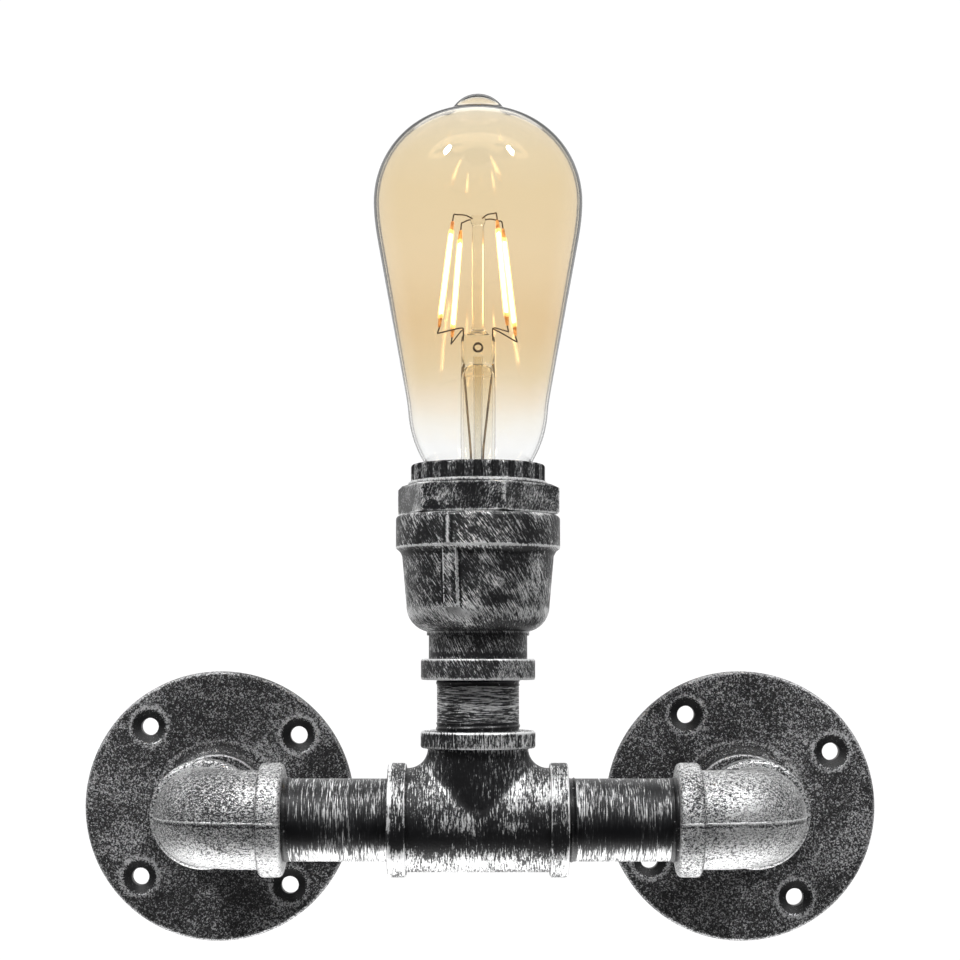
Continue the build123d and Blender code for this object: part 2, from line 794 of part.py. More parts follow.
with BuildPart() as wire_ferrules:
    for offset_y, offset_z in (live_offset, neutral_offset, earth_offset):
        wire_end_y = -ferrule_recess - ferrule_pin_l
        centre = (-half_spacing + offset_y, wire_end_y, offset_z)
        sleeve = Plane(origin=centre, z_dir=(0, -1, 0))
        with BuildSketch(sleeve):
            Circle(ferrule_d / 2)
            Circle(wire_d / 2 + wire_clearance, mode=Mode.SUBTRACT)
        extrude(amount=ferrule_sleeve_l)
        with BuildSketch(Plane(origin=centre, z_dir=(0, 1, 0))):
            Circle(ferrule_d / 2)
        extrude(amount=ferrule_end_t)
        with BuildSketch(Plane(origin=centre, z_dir=(0, 1, 0))):
            Circle(ferrule_pin_d / 2)
        extrude(amount=ferrule_pin_l)
wire_ferrules.part.label = "wire_ferrules"
export_step(wire_ferrules.part, "parts/wire_ferrules.step")

with BuildPart() as earth_lug:
    with BuildSketch(lamp_level(cup_floor_z)):
        with Locations((0, earth_boss_y)):
            Circle(earth_lug_d / 2)
        with Locations((0, (earth_boss_y + earth_barrel_y) / 2)):
            Rectangle(wire_d + 2 * earth_lug_wall, earth_boss_y - earth_barrel_y)
        with Locations((0, earth_barrel_y)):
            Circle(wire_d / 2 + earth_lug_wall)
        with Locations((0, earth_boss_y)):
            Circle(earth_screw_d / 2 + thread_clearance, mode=Mode.SUBTRACT)
    extrude(amount=earth_lug_t)
    with BuildSketch(lamp_level(cup_floor_z - cup_floor_t)):
        with Locations((0, earth_barrel_y)):
            Circle(wire_d / 2 + earth_lug_wall)
            Circle(wire_d / 2 + wire_clearance, mode=Mode.SUBTRACT)
    extrude(amount=cup_floor_t)
earth_lug.part.label = "earth_lug"
export_step(earth_lug.part, "parts/earth_lug.step")

with BuildPart() as earth_screw:
    with BuildSketch(lamp_level(cup_floor_z + earth_lug_t)):
        with Locations((0, earth_boss_y)):
            Circle(earth_screw_head_d / 2)
    extrude(amount=earth_screw_head_h)
    with BuildSketch(lamp_level(cup_floor_z + earth_lug_t)):
        with Locations((0, earth_boss_y)):
            Circle(earth_screw_d / 2 - thread_clearance)
    extrude(amount=-(earth_hole_depth + earth_lug_t - seat_gap))
earth_screw.part.label = "earth_screw"
export_step(earth_screw.part, "parts/earth_screw.step")


# ---- Bulb ----

def bulb_level(height):
    """Horizontal plane at a height above the underside of the bulb's contact."""
    return lamp_level(bulb_z + height)


def bulb_point(x, y, height):
    """A point given from the bulb's axis and the underside of its contact."""
    return lamp_point(x, y, bulb_z + height)


def make_envelope(inset):
    """The solid inside the bulb's outline, drawn in by an inset."""
    shoulder_edge = (shoulder_x + shoulder_r - inset, shoulder_h)
    tip_base = (tip_base_r, tip_base_h - inset)
    waist_end = (tip_waist_r, tip_base_h + tip_waist_rise - inset)
    tip_end = (0, tip_base_h + tip_waist_rise + tip_rise - inset)
    with BuildSketch(bulb_section) as outline:
        with BuildLine():
            neck = Polyline(
                (glass_neck_r - inset, glass_foot_h),
                (glass_neck_r - inset, cap_h),
                (throat_r - inset, throat_h),
            )
            throat = TangentArc(neck @ 1, (flank_r - inset, flank_h), tangent=neck % 1)
            flank = Line(throat @ 1, (chest_r - inset, shoulder_h - chest_drop))
            chest = TangentArc(flank @ 1, shoulder_edge, tangent=flank % 1)
            shoulder = TangentArc(chest @ 1, tip_base, tangent=(0, 1))
            waist = TangentArc(shoulder @ 1, waist_end, tangent=shoulder % 1)
            tip = TangentArc(tip_end, waist @ 1, tangent=(1, 0))
            Polyline(tip @ 0, (0, glass_foot_h), neck @ 0)
        make_face()
    return revolve(outline.sketch, axis=lamp_axis)


glass_outside = make_envelope(0)
glass_inside = make_envelope(glass_t)
with BuildPart() as bulb_glass:
    add(glass_outside)
    add(glass_inside, mode=Mode.SUBTRACT)
bulb_glass.part.label = "bulb_glass"
export_step(bulb_glass.part, "parts/bulb_glass.step")

insulator_foot_h = bulb_contact_t / 2
insulator_top_h = insulator_foot_h + insulator_h
with BuildPart() as bulb_cap:
    with BuildSketch(bulb_section):
        with BuildLine():
            Polyline(
                (insulator_foot_d / 2, insulator_top_h - cap_t),
                (cap_r, cap_foot_h),
                (cap_r, cap_h - cap_rim_h),
                (cap_r + cap_rim_proud, cap_h - cap_rim_h / 2),
                (cap_r + cap_rim_proud, cap_h),
                (cap_r - cap_t, cap_h),
                (cap_r - cap_t, cap_foot_h + cap_t / 2),
                (insulator_foot_d / 2, insulator_top_h),
                close=True,
            )
        make_face()
    revolve(axis=lamp_axis)
bulb_cap.part.label = "bulb_cap"
export_step(bulb_cap.part, "parts/bulb_cap.step")

with BuildPart() as cap_insulator:
    with BuildSketch(bulb_section):
        with BuildLine():
            Polyline(
                (bulb_contact_d / 4, bulb_contact_t),
                (bulb_contact_d / 2, bulb_contact_t),
                (bulb_contact_d / 2, insulator_foot_h),
                (insulator_foot_d / 2, insulator_top_h - insulator_rim_h),
                (insulator_foot_d / 2, insulator_top_h),
                (bulb_contact_d / 4, insulator_top_h),
                close=True,
            )
        make_face()
    revolve(axis=lamp_axis)
cap_insulator.part.label = "cap_insulator"
export_step(cap_insulator.part, "parts/cap_insulator.step")

with BuildPart() as cap_contact:
    with BuildSketch(bulb_section):
        with BuildLine():
            Polyline(
                (0, 0),
                (bulb_contact_d / 2 - bulb_contact_bevel, 0),
                (bulb_contact_d / 2, bulb_contact_t / 2),
                (bulb_contact_d / 2, bulb_contact_t),
                (0, bulb_contact_t),
                close=True,
            )
        make_face()
    revolve(axis=lamp_axis)
cap_contact.part.label = "cap_contact"
export_step(cap_contact.part, "parts/cap_contact.step")

stem_r = stem_d / 2
flare_r = glass_neck_r - glass_t
with BuildPart() as glass_stem:
    with BuildSketch(bulb_section):
        with BuildLine():
            Polyline(
                (flare_r, glass_foot_h),
                (flare_r, glass_foot_h + stem_t),
                (stem_r, glass_foot_h + stem_flare_h),
                (stem_r, stem_h),
                (0, stem_h),
                (0, stem_h - stem_t),
                (stem_r - stem_t, stem_h - stem_t),
                (stem_r - stem_t, glass_foot_h + stem_flare_h - stem_t),
                (flare_r - stem_t, glass_foot_h),
                close=True,
            )
        make_face()
    revolve(axis=lamp_axis)
    with BuildSketch(bulb_level(stem_h)):
        Circle(stem_r)
    with BuildSketch(bulb_level(press_foot_h)):
        Ellipse(press_w / 2, press_b / 2)
    loft()
    with BuildSketch(bulb_level(press_foot_h)):
        Ellipse(press_w / 2, press_b / 2)
    extrude(amount=press_h)
glass_stem.part.label = "glass_stem"
export_step(glass_stem.part, "parts/glass_stem.step")

with BuildPart() as stem_rod:
    with BuildSketch(bulb_section):
        with BuildLine():
            Polyline(
                (0, press_top_h),
                (bead_d / 2, press_top_h),
                (bead_d / 2, press_top_h + bead_h),
                (rod_d / 2, press_top_h + bead_h + bead_taper_h),
                (rod_d / 2, rod_top_h - button_h),
                (button_d / 2, rod_top_h - button_h + button_edge_h),
                (button_d / 2, rod_top_h - button_edge_h),
                (rod_d / 2 - button_edge_h / 2, rod_top_h),
                (0, rod_top_h),
                close=True,
            )
        make_face()
    revolve(axis=lamp_axis)
stem_rod.part.label = "stem_rod"
export_step(stem_rod.part, "parts/stem_rod.step")


def at_angle(turn, radius, height):
    """A point at a radius and height in the bulb, turned from +X."""
    return bulb_point(radius * math.cos(math.radians(turn)), radius * math.sin(math.radians(turn)), height)


filament_turns = [filament_turn + 360 / filament_count * i for i in range(filament_count)]
filament_ends = []
for turn in filament_turns:
    foot = at_angle(turn, filament_foot_r, press_top_h + filament_foot_rise)
    top = at_angle(turn, filament_top_r, rod_top_h - filament_top_drop)
    filament_ends.append((turn, foot, top, (top - foot).normalized()))

for number, (turn, foot, top, along) in enumerate(filament_ends, start=1):
    with BuildPart() as filament:
        with BuildSketch(Plane(origin=foot + along * filament_tab_l, z_dir=along)):
            Circle(filament_d / 2)
        extrude(amount=(top - foot).length - 2 * filament_tab_l)
    filament.part.label = f"filament_{number}"
    export_step(filament.part, f"parts/filament_{number}.step")

with BuildPart() as filament_tabs:
    for turn, foot, top, along in filament_ends:
        sideways = Vector(-math.sin(math.radians(turn)), math.cos(math.radians(turn)), 0)
        for start, direction in ((foot, along), (top, -along)):
            with BuildSketch(Plane(origin=start, x_dir=sideways, z_dir=direction)):
                Rectangle(filament_tab_w, filament_tab_t)
            extrude(amount=filament_tab_l)
filament_tabs.part.label = "filament_tabs"
export_step(filament_tabs.part, "parts/filament_tabs.step")


def make_bulb_wire(*points):
    """A thin wire with mitred corners."""
    with BuildPart() as wire:
        with BuildLine() as route:
            Polyline(*points)
        path = route.wires()[0]
        with BuildSketch(Plane(origin=path @ 0, z_dir=path % 0)):
            Circle(bulb_wire_d / 2)
        sweep(path=path, transition=Transition.RIGHT)
    return wire.part


crown_h = rod_top_h - crown_drop
with BuildPart() as crown_wires:
    for turn, foot, top, along in filament_ends:
        bend = top + along * ((bulb_z + crown_h - top.Z) / along.Z)
        button_side = at_angle(turn, button_d / 2, rod_top_h - button_h / 2)
        level = at_angle(turn, filament_top_r * crown_bend_share, crown_h)
        add(make_bulb_wire(button_side, level, bend, top))
crown_wires.part.label = "crown_wires"
export_step(crown_wires.part, "parts/crown_wires.step")

with BuildPart() as support_wires:
    for turn, foot, top, along in filament_ends:
        side = 1 if math.cos(math.radians(turn)) > 0 else -1
        back = 1 if math.sin(math.radians(turn)) > 0 else -1
        press_exit = bulb_point(side * support_x, back * bulb_wire_d, press_top_h)
        turn_out = press_exit + Vector(0, 0, support_rise)
        add(make_bulb_wire(press_exit, turn_out, foot - along * support_drop, foot))
support_wires.part.label = "support_wires"
export_step(support_wires.part, "parts/support_wires.step")

board_top_h = glass_foot_h - board_gap
board_foot_h = board_top_h - board_h
with BuildPart() as lead_wires:
    for side in (-1, 1):
        lead_foot = bulb_point(side * lead_foot_x, 0, board_top_h)
        lead = bulb_point(side * lead_top_x, 0, stem_h - stem_t) - lead_foot
        with BuildSketch(Plane(origin=lead_foot, z_dir=lead)):
            Circle(bulb_wire_d / 2)
        extrude(amount=lead.length)
lead_wires.part.label = "lead_wires"
export_step(lead_wires.part, "parts/lead_wires.step")

with BuildPart() as driver_board:
    with BuildSketch(bulb_level(board_foot_h)):
        Rectangle(board_l, board_t)
    extrude(amount=board_h)
driver_board.part.label = "driver_board"
export_step(driver_board.part, "parts/driver_board.step")

with BuildPart() as driver_parts:
    with BuildSketch(bulb_level(board_foot_h)):
        with Locations((-board_l / 5, board_t / 2 + capacitor_d / 2)):
            Circle(capacitor_d / 2)
    extrude(amount=capacitor_h)
    chip_l, chip_t, chip_h = chip_size
    with BuildSketch(bulb_level(board_foot_h + board_h / 3)):
        with Locations((board_l / 5, -board_t / 2 - chip_t / 2)):
            Rectangle(chip_l, chip_t)
    extrude(amount=chip_h)
driver_parts.part.label = "driver_parts"
export_step(driver_parts.part, "parts/driver_parts.step")
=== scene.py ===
import bpy
import bmesh
import math
import numpy as np
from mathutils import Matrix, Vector


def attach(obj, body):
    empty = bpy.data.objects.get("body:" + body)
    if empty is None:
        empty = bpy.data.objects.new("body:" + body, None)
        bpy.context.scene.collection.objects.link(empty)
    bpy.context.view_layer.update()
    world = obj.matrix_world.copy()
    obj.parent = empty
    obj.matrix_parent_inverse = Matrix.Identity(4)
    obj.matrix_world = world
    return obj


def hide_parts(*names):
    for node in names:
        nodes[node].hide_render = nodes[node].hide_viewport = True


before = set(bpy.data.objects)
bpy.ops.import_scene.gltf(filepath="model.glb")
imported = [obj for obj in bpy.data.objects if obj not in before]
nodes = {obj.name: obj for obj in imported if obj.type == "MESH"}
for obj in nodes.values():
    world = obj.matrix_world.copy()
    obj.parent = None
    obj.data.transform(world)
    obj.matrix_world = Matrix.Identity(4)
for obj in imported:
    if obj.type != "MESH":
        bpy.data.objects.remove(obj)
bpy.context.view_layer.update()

mm = 0.001
lampX, lampY = -0.6, -62.0          # the lamp's upright axis, mm
halfSpacing = 86.4                  # from the middle to each flange's axis, mm
lampCentre = (lampX, lampY, 0)
runCentre = (0, lampY, 0)
print("frame loaded:", len(nodes), "nodes")

welding = {"doubles": 2e-6, "emptyEdges": 1e-7}     # points closer and edges shorter than this go, m


# Puts grids of points (rows x columns x 3, in mm) into one mesh. Doubles along seams and at poles are
# merged, so that each closed grid becomes a closed skin with its faces outwards.
def gridPiece(name, grids, body, material, replaced=(), sharpAngle=70):
    points, quads, start = [], [], 0
    for grid in grids:
        rows, columns = grid.shape[:2]
        index = np.arange(rows * columns).reshape(rows, columns) + start
        corners = [index[:-1, :-1], index[1:, :-1], index[1:, 1:], index[:-1, 1:]]
        quads.append(np.stack(corners, -1).reshape(-1, 4))
        points.append(grid.reshape(-1, 3))
        start += rows * columns
    points, quads = np.concatenate(points) * mm, np.concatenate(quads)
    mesh = bpy.data.meshes.new(name)
    mesh.from_pydata(points.tolist(), [], quads.tolist())
    work = bmesh.new()
    work.from_mesh(mesh)
    bmesh.ops.remove_doubles(work, verts=work.verts, dist=welding["doubles"])
    bmesh.ops.dissolve_degenerate(work, edges=work.edges, dist=welding["emptyEdges"])
    bmesh.ops.recalc_face_normals(work, faces=work.faces)
    work.to_mesh(mesh)
    work.free()
    mesh.shade_smooth()
    mesh.set_sharp_from_angle(angle=math.radians(sharpAngle))
    mesh.materials.append(material)
    piece = bpy.data.objects.new(name, mesh)
    bpy.context.scene.collection.objects.link(piece)
    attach(piece, body)
    if replaced:
        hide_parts(*replaced)


# Points from two values across an axis (a, b) and one along it (h): point = centre + a A + b B + h C.
def onAxis(axis, a, b, h, centre):
    order = {"X": (h, a, b), "Y": (b, h, a), "Z": (a, b, h)}[axis]
    return np.stack(order, -1) + np.asarray(centre, float)


# A profile of (radius, height) rows turned round an axis: a = r cos t, b = r sin t. Rows of (radius across,
# radius deep, height) give an oval section.
def turned(profile, centre=lampCentre, axis="Z", steps=96):
    profile = np.asarray(profile, float)
    angle = np.linspace(0, 2 * np.pi, steps + 1)
    h = np.repeat(profile[:, -1:], steps + 1, axis=1)
    return onAxis(axis, profile[:, :1] * np.cos(angle), profile[:, -2:-1] * np.sin(angle), h, centre)


# A circular arc that leaves start along heading and ends at end: centre = start + n |d|^2 / (2 n.d), where d
# is the chord and n the side square to the heading.
def arcTo(start, heading, end, steps):
    start, heading, end = (np.asarray(p, float) for p in (start, heading, end))
    side = np.array([-heading[1], heading[0]]) / np.linalg.norm(heading)
    chord = end - start
    reach = chord @ chord / (2 * (side @ chord))
    centre = start + side * reach
    first = math.atan2(*(start - centre)[::-1])
    last = math.atan2(*(end - centre)[::-1])
    sweep = (last - first) % (2 * math.pi)
    if reach < 0:
        sweep -= 2 * math.pi
    angle = first + sweep * np.linspace(0, 1, steps + 1)
    return centre + abs(reach) * np.stack([np.cos(angle), np.sin(angle)], -1)


# The heading of an arc at its last point.
def headingAt(line):
    return (line[-1] - line[-2]) / np.linalg.norm(line[-1] - line[-2])


# An oval section carried along a line of points: point = line + wide cos t A + thick sin t B, where A is a
# fixed side vector made square to the line. The usual side slants, so that no wire runs along it. Both ends
# close in a dome.
def wireAlong(line, wide, thick=None, side=(0.31, 0.87, 0.38), sides=12):
    line = np.asarray(line, float)
    wide = np.broadcast_to(wide, len(line)).astype(float)
    thick = wide if thick is None else np.broadcast_to(thick, len(line)).astype(float)
    tangent = np.gradient(line, axis=0)
    tangent /= np.linalg.norm(tangent, axis=1, keepdims=True)
    fixed = np.asarray(side, float)
    across = fixed - (tangent @ fixed)[:, None] * tangent
    across /= np.linalg.norm(across, axis=1, keepdims=True)
    other = np.cross(tangent, across)
    dome = np.array([0.0, 0.42, 0.76, 0.94])            # radius shares of the dome's rings
    reach = np.sqrt(1 - dome ** 2)
    first = line[:1] - tangent[:1] * (reach * wide[0])[:, None]
    last = line[-1:] + tangent[-1:] * (reach * wide[-1])[::-1, None]
    grow = lambda array, head, tail: np.concatenate([head, array, tail])
    hold = lambda array: grow(array, np.repeat(array[:1], len(dome), 0), np.repeat(array[-1:], len(dome), 0))
    line, across, other = grow(line, first, last), hold(across), hold(other)
    wide, thick = (grow(size, dome * size[0], (dome * size[-1])[::-1]) for size in (wide, thick))
    angle = np.linspace(0, 2 * np.pi, sides + 1)[:, None]
    return (line[:, None] + across[:, None] * np.cos(angle) * wide[:, None, None]
            + other[:, None] * np.sin(angle) * thick[:, None, None])


# A smooth line through a few corners: each step blends two parabolas (Catmull-Rom).
def smoothLine(corners, steps=10):
    corners = np.asarray(corners, float)
    ends = np.concatenate([2 * corners[:1] - corners[1:2], corners, 2 * corners[-1:] - corners[-2:-1]])
    t = np.linspace(0, 1, steps, endpoint=False)[None, :, None]
    p0, p1, p2, p3 = (ends[i:len(ends) - 3 + i][:, None] for i in range(4))
    curve = 0.5 * (2 * p1 + (p2 - p0) * t + (2 * p0 - 5 * p1 + 4 * p2 - p3) * t ** 2
                   + (3 * p1 - p0 - 3 * p2 + p3) * t ** 3)
    return np.concatenate([curve.reshape(-1, curve.shape[-1]), corners[-1:]])


def makeNode(tree, kind, inputs=None, **settings):
    made = tree.nodes.new(kind)
    for key, value in settings.items():
        setattr(made, key, value)
    for socket, value in (inputs or {}).items():
        if isinstance(value, bpy.types.NodeSocket):
            tree.links.new(value, made.inputs[socket])
        else:
            made.inputs[socket].default_value = value
    return made


def calc(tree, operation, *values):
    return makeNode(tree, "ShaderNodeMath", dict(enumerate(values)), operation=operation).outputs[0]


def ramp(tree, value, low, high, start=0.0, end=1.0):
    inputs = {"Value": value, "From Min": low, "From Max": high, "To Min": start, "To Max": end}
    return makeNode(tree, "ShaderNodeMapRange", inputs, interpolation_type="SMOOTHSTEP").outputs[0]


def blendColour(tree, share, first, second):
    made = makeNode(tree, "ShaderNodeMix", {0: share, 6: first, 7: second}, data_type="RGBA")
    return made.outputs[2]


def noise(tree, vector, scale, detail=4.0, roughness=0.55, distortion=0.0):
    inputs = {"Vector": vector, "Scale": scale, "Detail": detail, "Roughness": roughness,
              "Distortion": distortion}
    return makeNode(tree, "ShaderNodeTexNoise", inputs).outputs[0]


def newMaterial(name):
    material = bpy.data.materials.new(name)
    material.use_nodes = True
    tree = material.node_tree
    shader = tree.nodes["Principled BSDF"]
    place = makeNode(tree, "ShaderNodeTexCoord").outputs["Object"]
    return material, tree, shader, place


def connect(tree, shader, **sockets):
    for name, value in sockets.items():
        tree.links.new(value, shader.inputs[name.replace("_", " ")])


def addBump(tree, shader, height, strength, depth):
    inputs = {"Strength": strength, "Distance": depth, "Height": height}
    connect(tree, shader, Normal=makeNode(tree, "ShaderNodeBump", inputs).outputs[0])


def dress(node, material):
    nodes[node].data.materials.clear()
    nodes[node].data.materials.append(material)


def coordinate(tree, place, number):
    return makeNode(tree, "ShaderNodeSeparateXYZ", {0: place}).outputs[number]


# How far a value in metres is from a level in mm, on either side.
def farFrom(tree, value, level):
    return calc(tree, "ABSOLUTE", calc(tree, "SUBTRACT", value, level * mm))


# The whole gain where a distance is 0, and nothing from the width in mm outwards.
def fadeOut(tree, distance, width, gain):
    return ramp(tree, distance, width * mm, 0.0, 0.0, gain)


# A point's place about an axis: turn in radians (0 towards the room, growing to the right), height along
# the axis and distance from it, both in metres.
def aboutAxis(tree, place, axis, centre):
    split = makeNode(tree, "ShaderNodeSeparateXYZ", {0: place})
    local = [calc(tree, "SUBTRACT", split.outputs[i], centre[i] * mm) for i in range(3)]
    height = local["XYZ".index(axis)]
    first, second = {"X": (2, 1), "Y": (2, 0), "Z": (0, 1)}[axis]
    if axis == "Y":
        turn = calc(tree, "ARCTAN2", local[first], local[second])
    else:
        turn = calc(tree, "ARCTAN2", local[first], calc(tree, "MULTIPLY", local[second], -1.0))
    squares = [calc(tree, "MULTIPLY", local[i], local[i]) for i in (first, second)]
    return turn, height, calc(tree, "SQRT", calc(tree, "ADD", *squares))


# The gain on an edge and 0 away from it: a positive gain is wear, a negative one painted shade. The edge is a
# circle or, with the radius None, a whole level.
def edgeWearAndShade(tree, radius, height, edge, roughen):
    edgeRadius, edgeHeight, width, gain = edge
    squares = []
    for value, middle in ((radius, edgeRadius), (height, edgeHeight)):
        if middle is not None:
            away = calc(tree, "SUBTRACT", value, middle * mm)
            squares.append(calc(tree, "MULTIPLY", away, away))
    total = squares[0] if len(squares) == 1 else calc(tree, "ADD", *squares)
    distance = calc(tree, "ADD", calc(tree, "SQRT", total), roughen)
    return fadeOut(tree, distance, width, gain)


# Distance from the nearest of four screw holes: the turn is folded into one quarter, where the hole is at
# (ringRadius, 0). The dish's rim is light, and its hollow dark.
def dishRimAndHollow(tree, place, dishes, roughen):
    turn, height, radius = aboutAxis(tree, place, "Y", dishes["centre"])
    turn = calc(tree, "SUBTRACT", turn, math.radians(dishes["turn"]))
    folded = calc(tree, "WRAP", turn, math.pi / 4, -math.pi / 4)
    along = calc(tree, "MULTIPLY", radius, calc(tree, "COSINE", folded))
    along = calc(tree, "SUBTRACT", along, dishes["ringRadius"] * mm)
    across = calc(tree, "MULTIPLY", radius, calc(tree, "SINE", folded))
    squares = calc(tree, "MULTIPLY_ADD", along, along, calc(tree, "MULTIPLY", across, across))
    distance = calc(tree, "ADD", calc(tree, "SQRT", squares), roughen)
    rim = farFrom(tree, distance, dishes["dishRadius"])
    light = fadeOut(tree, rim, dishes["rimWidth"], dishes["rimGain"])
    hollowEdges = [(dishes["dishRadius"] - inset) * mm for inset in dishes["hollowInsets"]]
    return calc(tree, "ADD", light, ramp(tree, distance, *hollowEdges, 0.0, dishes["hollowGain"]))


# Worn light edges of the two ribs, with painted shade beside them. The ribs stand opposite each other: across
# = |radius sin(turn - ribTurn)|.
def ribWearAndShade(tree, place, ribs, roughen):
    turn, height, radius = aboutAxis(tree, place, "Z", ribs["centre"])
    sine = calc(tree, "SINE", calc(tree, "SUBTRACT", turn, math.radians(ribs["turn"])))
    across = calc(tree, "ADD", calc(tree, "ABSOLUTE", calc(tree, "MULTIPLY", radius, sine)), roughen)
    total = 0.0
    for middle, width, gain, foot, head in ribs["lines"]:
        share = fadeOut(tree, farFrom(tree, across, middle), width, gain)
        for level, sign in ((foot, 1), (head, -1)):
            ends = [(level - ribs["endBlend"] * sign) * mm, (level + ribs["endBlend"] * sign) * mm]
            share = calc(tree, "MULTIPLY", share, ramp(tree, height, *ends))
        total = calc(tree, "ADD", total, share)
    return total


# The tee's branch and run meet in two planes, |x| = |z|: painted shade on the branch, a painted highlight
# just under it.
def saddleShadeAndHighlight(tree, place, saddle, roughen):
    level = coordinate(tree, place, 2)
    depth = calc(tree, "SUBTRACT", level, farFrom(tree, coordinate(tree, place, 0), lampX))
    depth = calc(tree, "ADD", depth, calc(tree, "MULTIPLY", roughen, saddle["wander"]))
    # painted shade on the branch by the crease
    dark = ramp(tree, depth, 0.0, saddle["darkDepth"] * mm, 0.0, saddle["dark"])
    belowBand = ramp(tree, level, *(z * mm for z in saddle["bandZ"]))
    # painted highlight on the run's upper half, just under the crease
    light = fadeOut(tree, farFrom(tree, depth, -saddle["lightDepth"]), saddle["lightWidth"], saddle["light"])
    upperHalf = ramp(tree, level, *(z * mm for z in saddle["upperZ"]))
    return calc(tree, "MULTIPLY_ADD", dark, belowBand, calc(tree, "MULTIPLY", light, upperHalf))


# What every iron piece starts from. Scales are waves per metre. Sizes of wear and painted shade are in mm: an
# edge is (radius, height, width, gain), a level of painted light and shade (z, width, gain), and a rib's line
# (across, width, gain, foot, head).
ironBase = {
    "dark": (0.005, 0.005, 0.006, 1), "mid": (0.042, 0.043, 0.045, 1),
    "silverLow": (0.16, 0.162, 0.166, 1), "silverHigh": (0.95, 0.95, 0.95, 1),
    "metalDark": 0.0, "metalSilver": 0.5, "roughDark": 0.42, "roughSilver": 0.4,
    "grainScale": 1500.0, "grainGain": 0.25, "patchScale": 60.0, "patchGain": 0.35,
    "strokeScale": (300.0, 300.0, 300.0), "waver": 0.2,
    "strokeShare": 0.6, "fineShare": 0.4, "fineScale": 2.6,
    "threshold": 0.53, "softness": 0.05, "depth": 0.11, "hazeBelow": 0.12, "hazeAbove": 0.03,
    "edgeWander": 0.0016, "pitting": 0.5, "silverRise": 0.3, "bump": 0.5, "bumpDepth": 0.0004,
    "wrap": None, "wearAndShade": (), "levels": (), "dishes": None, "ribs": None, "saddle": None,
}


# Dark iron rubbed with silver. The brush value is noise stretched along the strokes, plus slow patches,
# grain, worn edges, painted shade lines and levels of painted light and shade; where it passes the threshold
# there is silver.
def rubbedIron(name, look):
    material, tree, shader, place = newMaterial(name)
    grain = noise(tree, place, look["grainScale"], detail=2.0, roughness=0.6)
    patches = noise(tree, place, look["patchScale"], detail=2.0, roughness=0.5)
    flat = place
    if look["wrap"]:                                    # strokes laid on the unrolled surface
        turn, height, radius = aboutAxis(tree, place, "Z", look["wrap"])
        arc = calc(tree, "MULTIPLY", turn, look["wrapRadius"] * mm)
        flat = makeNode(tree, "ShaderNodeCombineXYZ", {0: arc, 1: height, 2: radius}).outputs[0]
        flat = makeNode(tree, "ShaderNodeMapping", {
            "Vector": flat, "Rotation": (0, 0, math.radians(-look["strokeAngle"]))}).outputs[0]
    stretched = makeNode(tree, "ShaderNodeMapping", {"Vector": flat, "Scale": look["strokeScale"]}).outputs[0]
    strokes = noise(tree, stretched, 1.0, detail=2.0, roughness=0.6, distortion=look["waver"])
    fine = noise(tree, stretched, look["fineScale"], detail=1.0, roughness=0.6, distortion=0.1)
    brush = calc(tree, "ADD", calc(tree, "MULTIPLY", strokes, look["strokeShare"]),
                 calc(tree, "MULTIPLY", fine, look["fineShare"]))
    for value, gain in ((patches, look["patchGain"]), (grain, look["grainGain"])):
        brush = calc(tree, "MULTIPLY_ADD", calc(tree, "SUBTRACT", value, 0.5), gain, brush)
    roughen = calc(tree, "MULTIPLY", calc(tree, "SUBTRACT", grain, 0.5), look["edgeWander"])
    for wearAndShade in look["wearAndShade"]:
        axisHeight, axisRadius = aboutAxis(tree, place, wearAndShade["axis"], wearAndShade["centre"])[1:]
        for edge in wearAndShade["edges"]:
            brush = calc(tree, "ADD", brush, edgeWearAndShade(tree, axisRadius, axisHeight, edge, roughen))
        for zone in wearAndShade.get("zones", ()):              # more or less silver beyond a radius
            share = ramp(tree, axisRadius, zone["from"] * mm, zone["to"] * mm, 0.0, zone["gain"])
            brush = calc(tree, "ADD", brush, share)
    # dish rims and hollows, worn rib edges with painted shade beside them, the tee's painted shade and
    # highlight
    for special, wearAndShadeOf in (("dishes", dishRimAndHollow), ("ribs", ribWearAndShade), ("saddle", saddleShadeAndHighlight)):
        if look[special]:
            brush = calc(tree, "ADD", brush, wearAndShadeOf(tree, place, look[special], roughen))
    for z, width, gain in look["levels"]:               # painted light and shade: more or less silver along a level of the pipe run
        away = farFrom(tree, coordinate(tree, place, 2), z)
        brush = calc(tree, "ADD", brush, fadeOut(tree, away, width, gain))
    threshold = look["threshold"]
    silver = ramp(tree, brush, threshold, threshold + look["softness"])
    haze = ramp(tree, brush, threshold - look["hazeBelow"], threshold + look["hazeAbove"])
    strength = ramp(tree, brush, threshold, threshold + look["depth"])
    dark = blendColour(tree, haze, look["dark"], look["mid"])
    bright = blendColour(tree, strength, look["silverLow"], look["silverHigh"])
    connect(tree, shader,
            Base_Color=blendColour(tree, silver, dark, bright),
            Metallic=ramp(tree, silver, 0.0, 1.0, look["metalDark"], look["metalSilver"]),
            Roughness=ramp(tree, silver, 0.0, 1.0, look["roughDark"], look["roughSilver"]))
    pits = calc(tree, "MULTIPLY", grain, look["pitting"])
    relief = calc(tree, "MULTIPLY_ADD", silver, look["silverRise"], pits)
    addBump(tree, shader, relief, look["bump"], look["bumpDepth"])
    return material
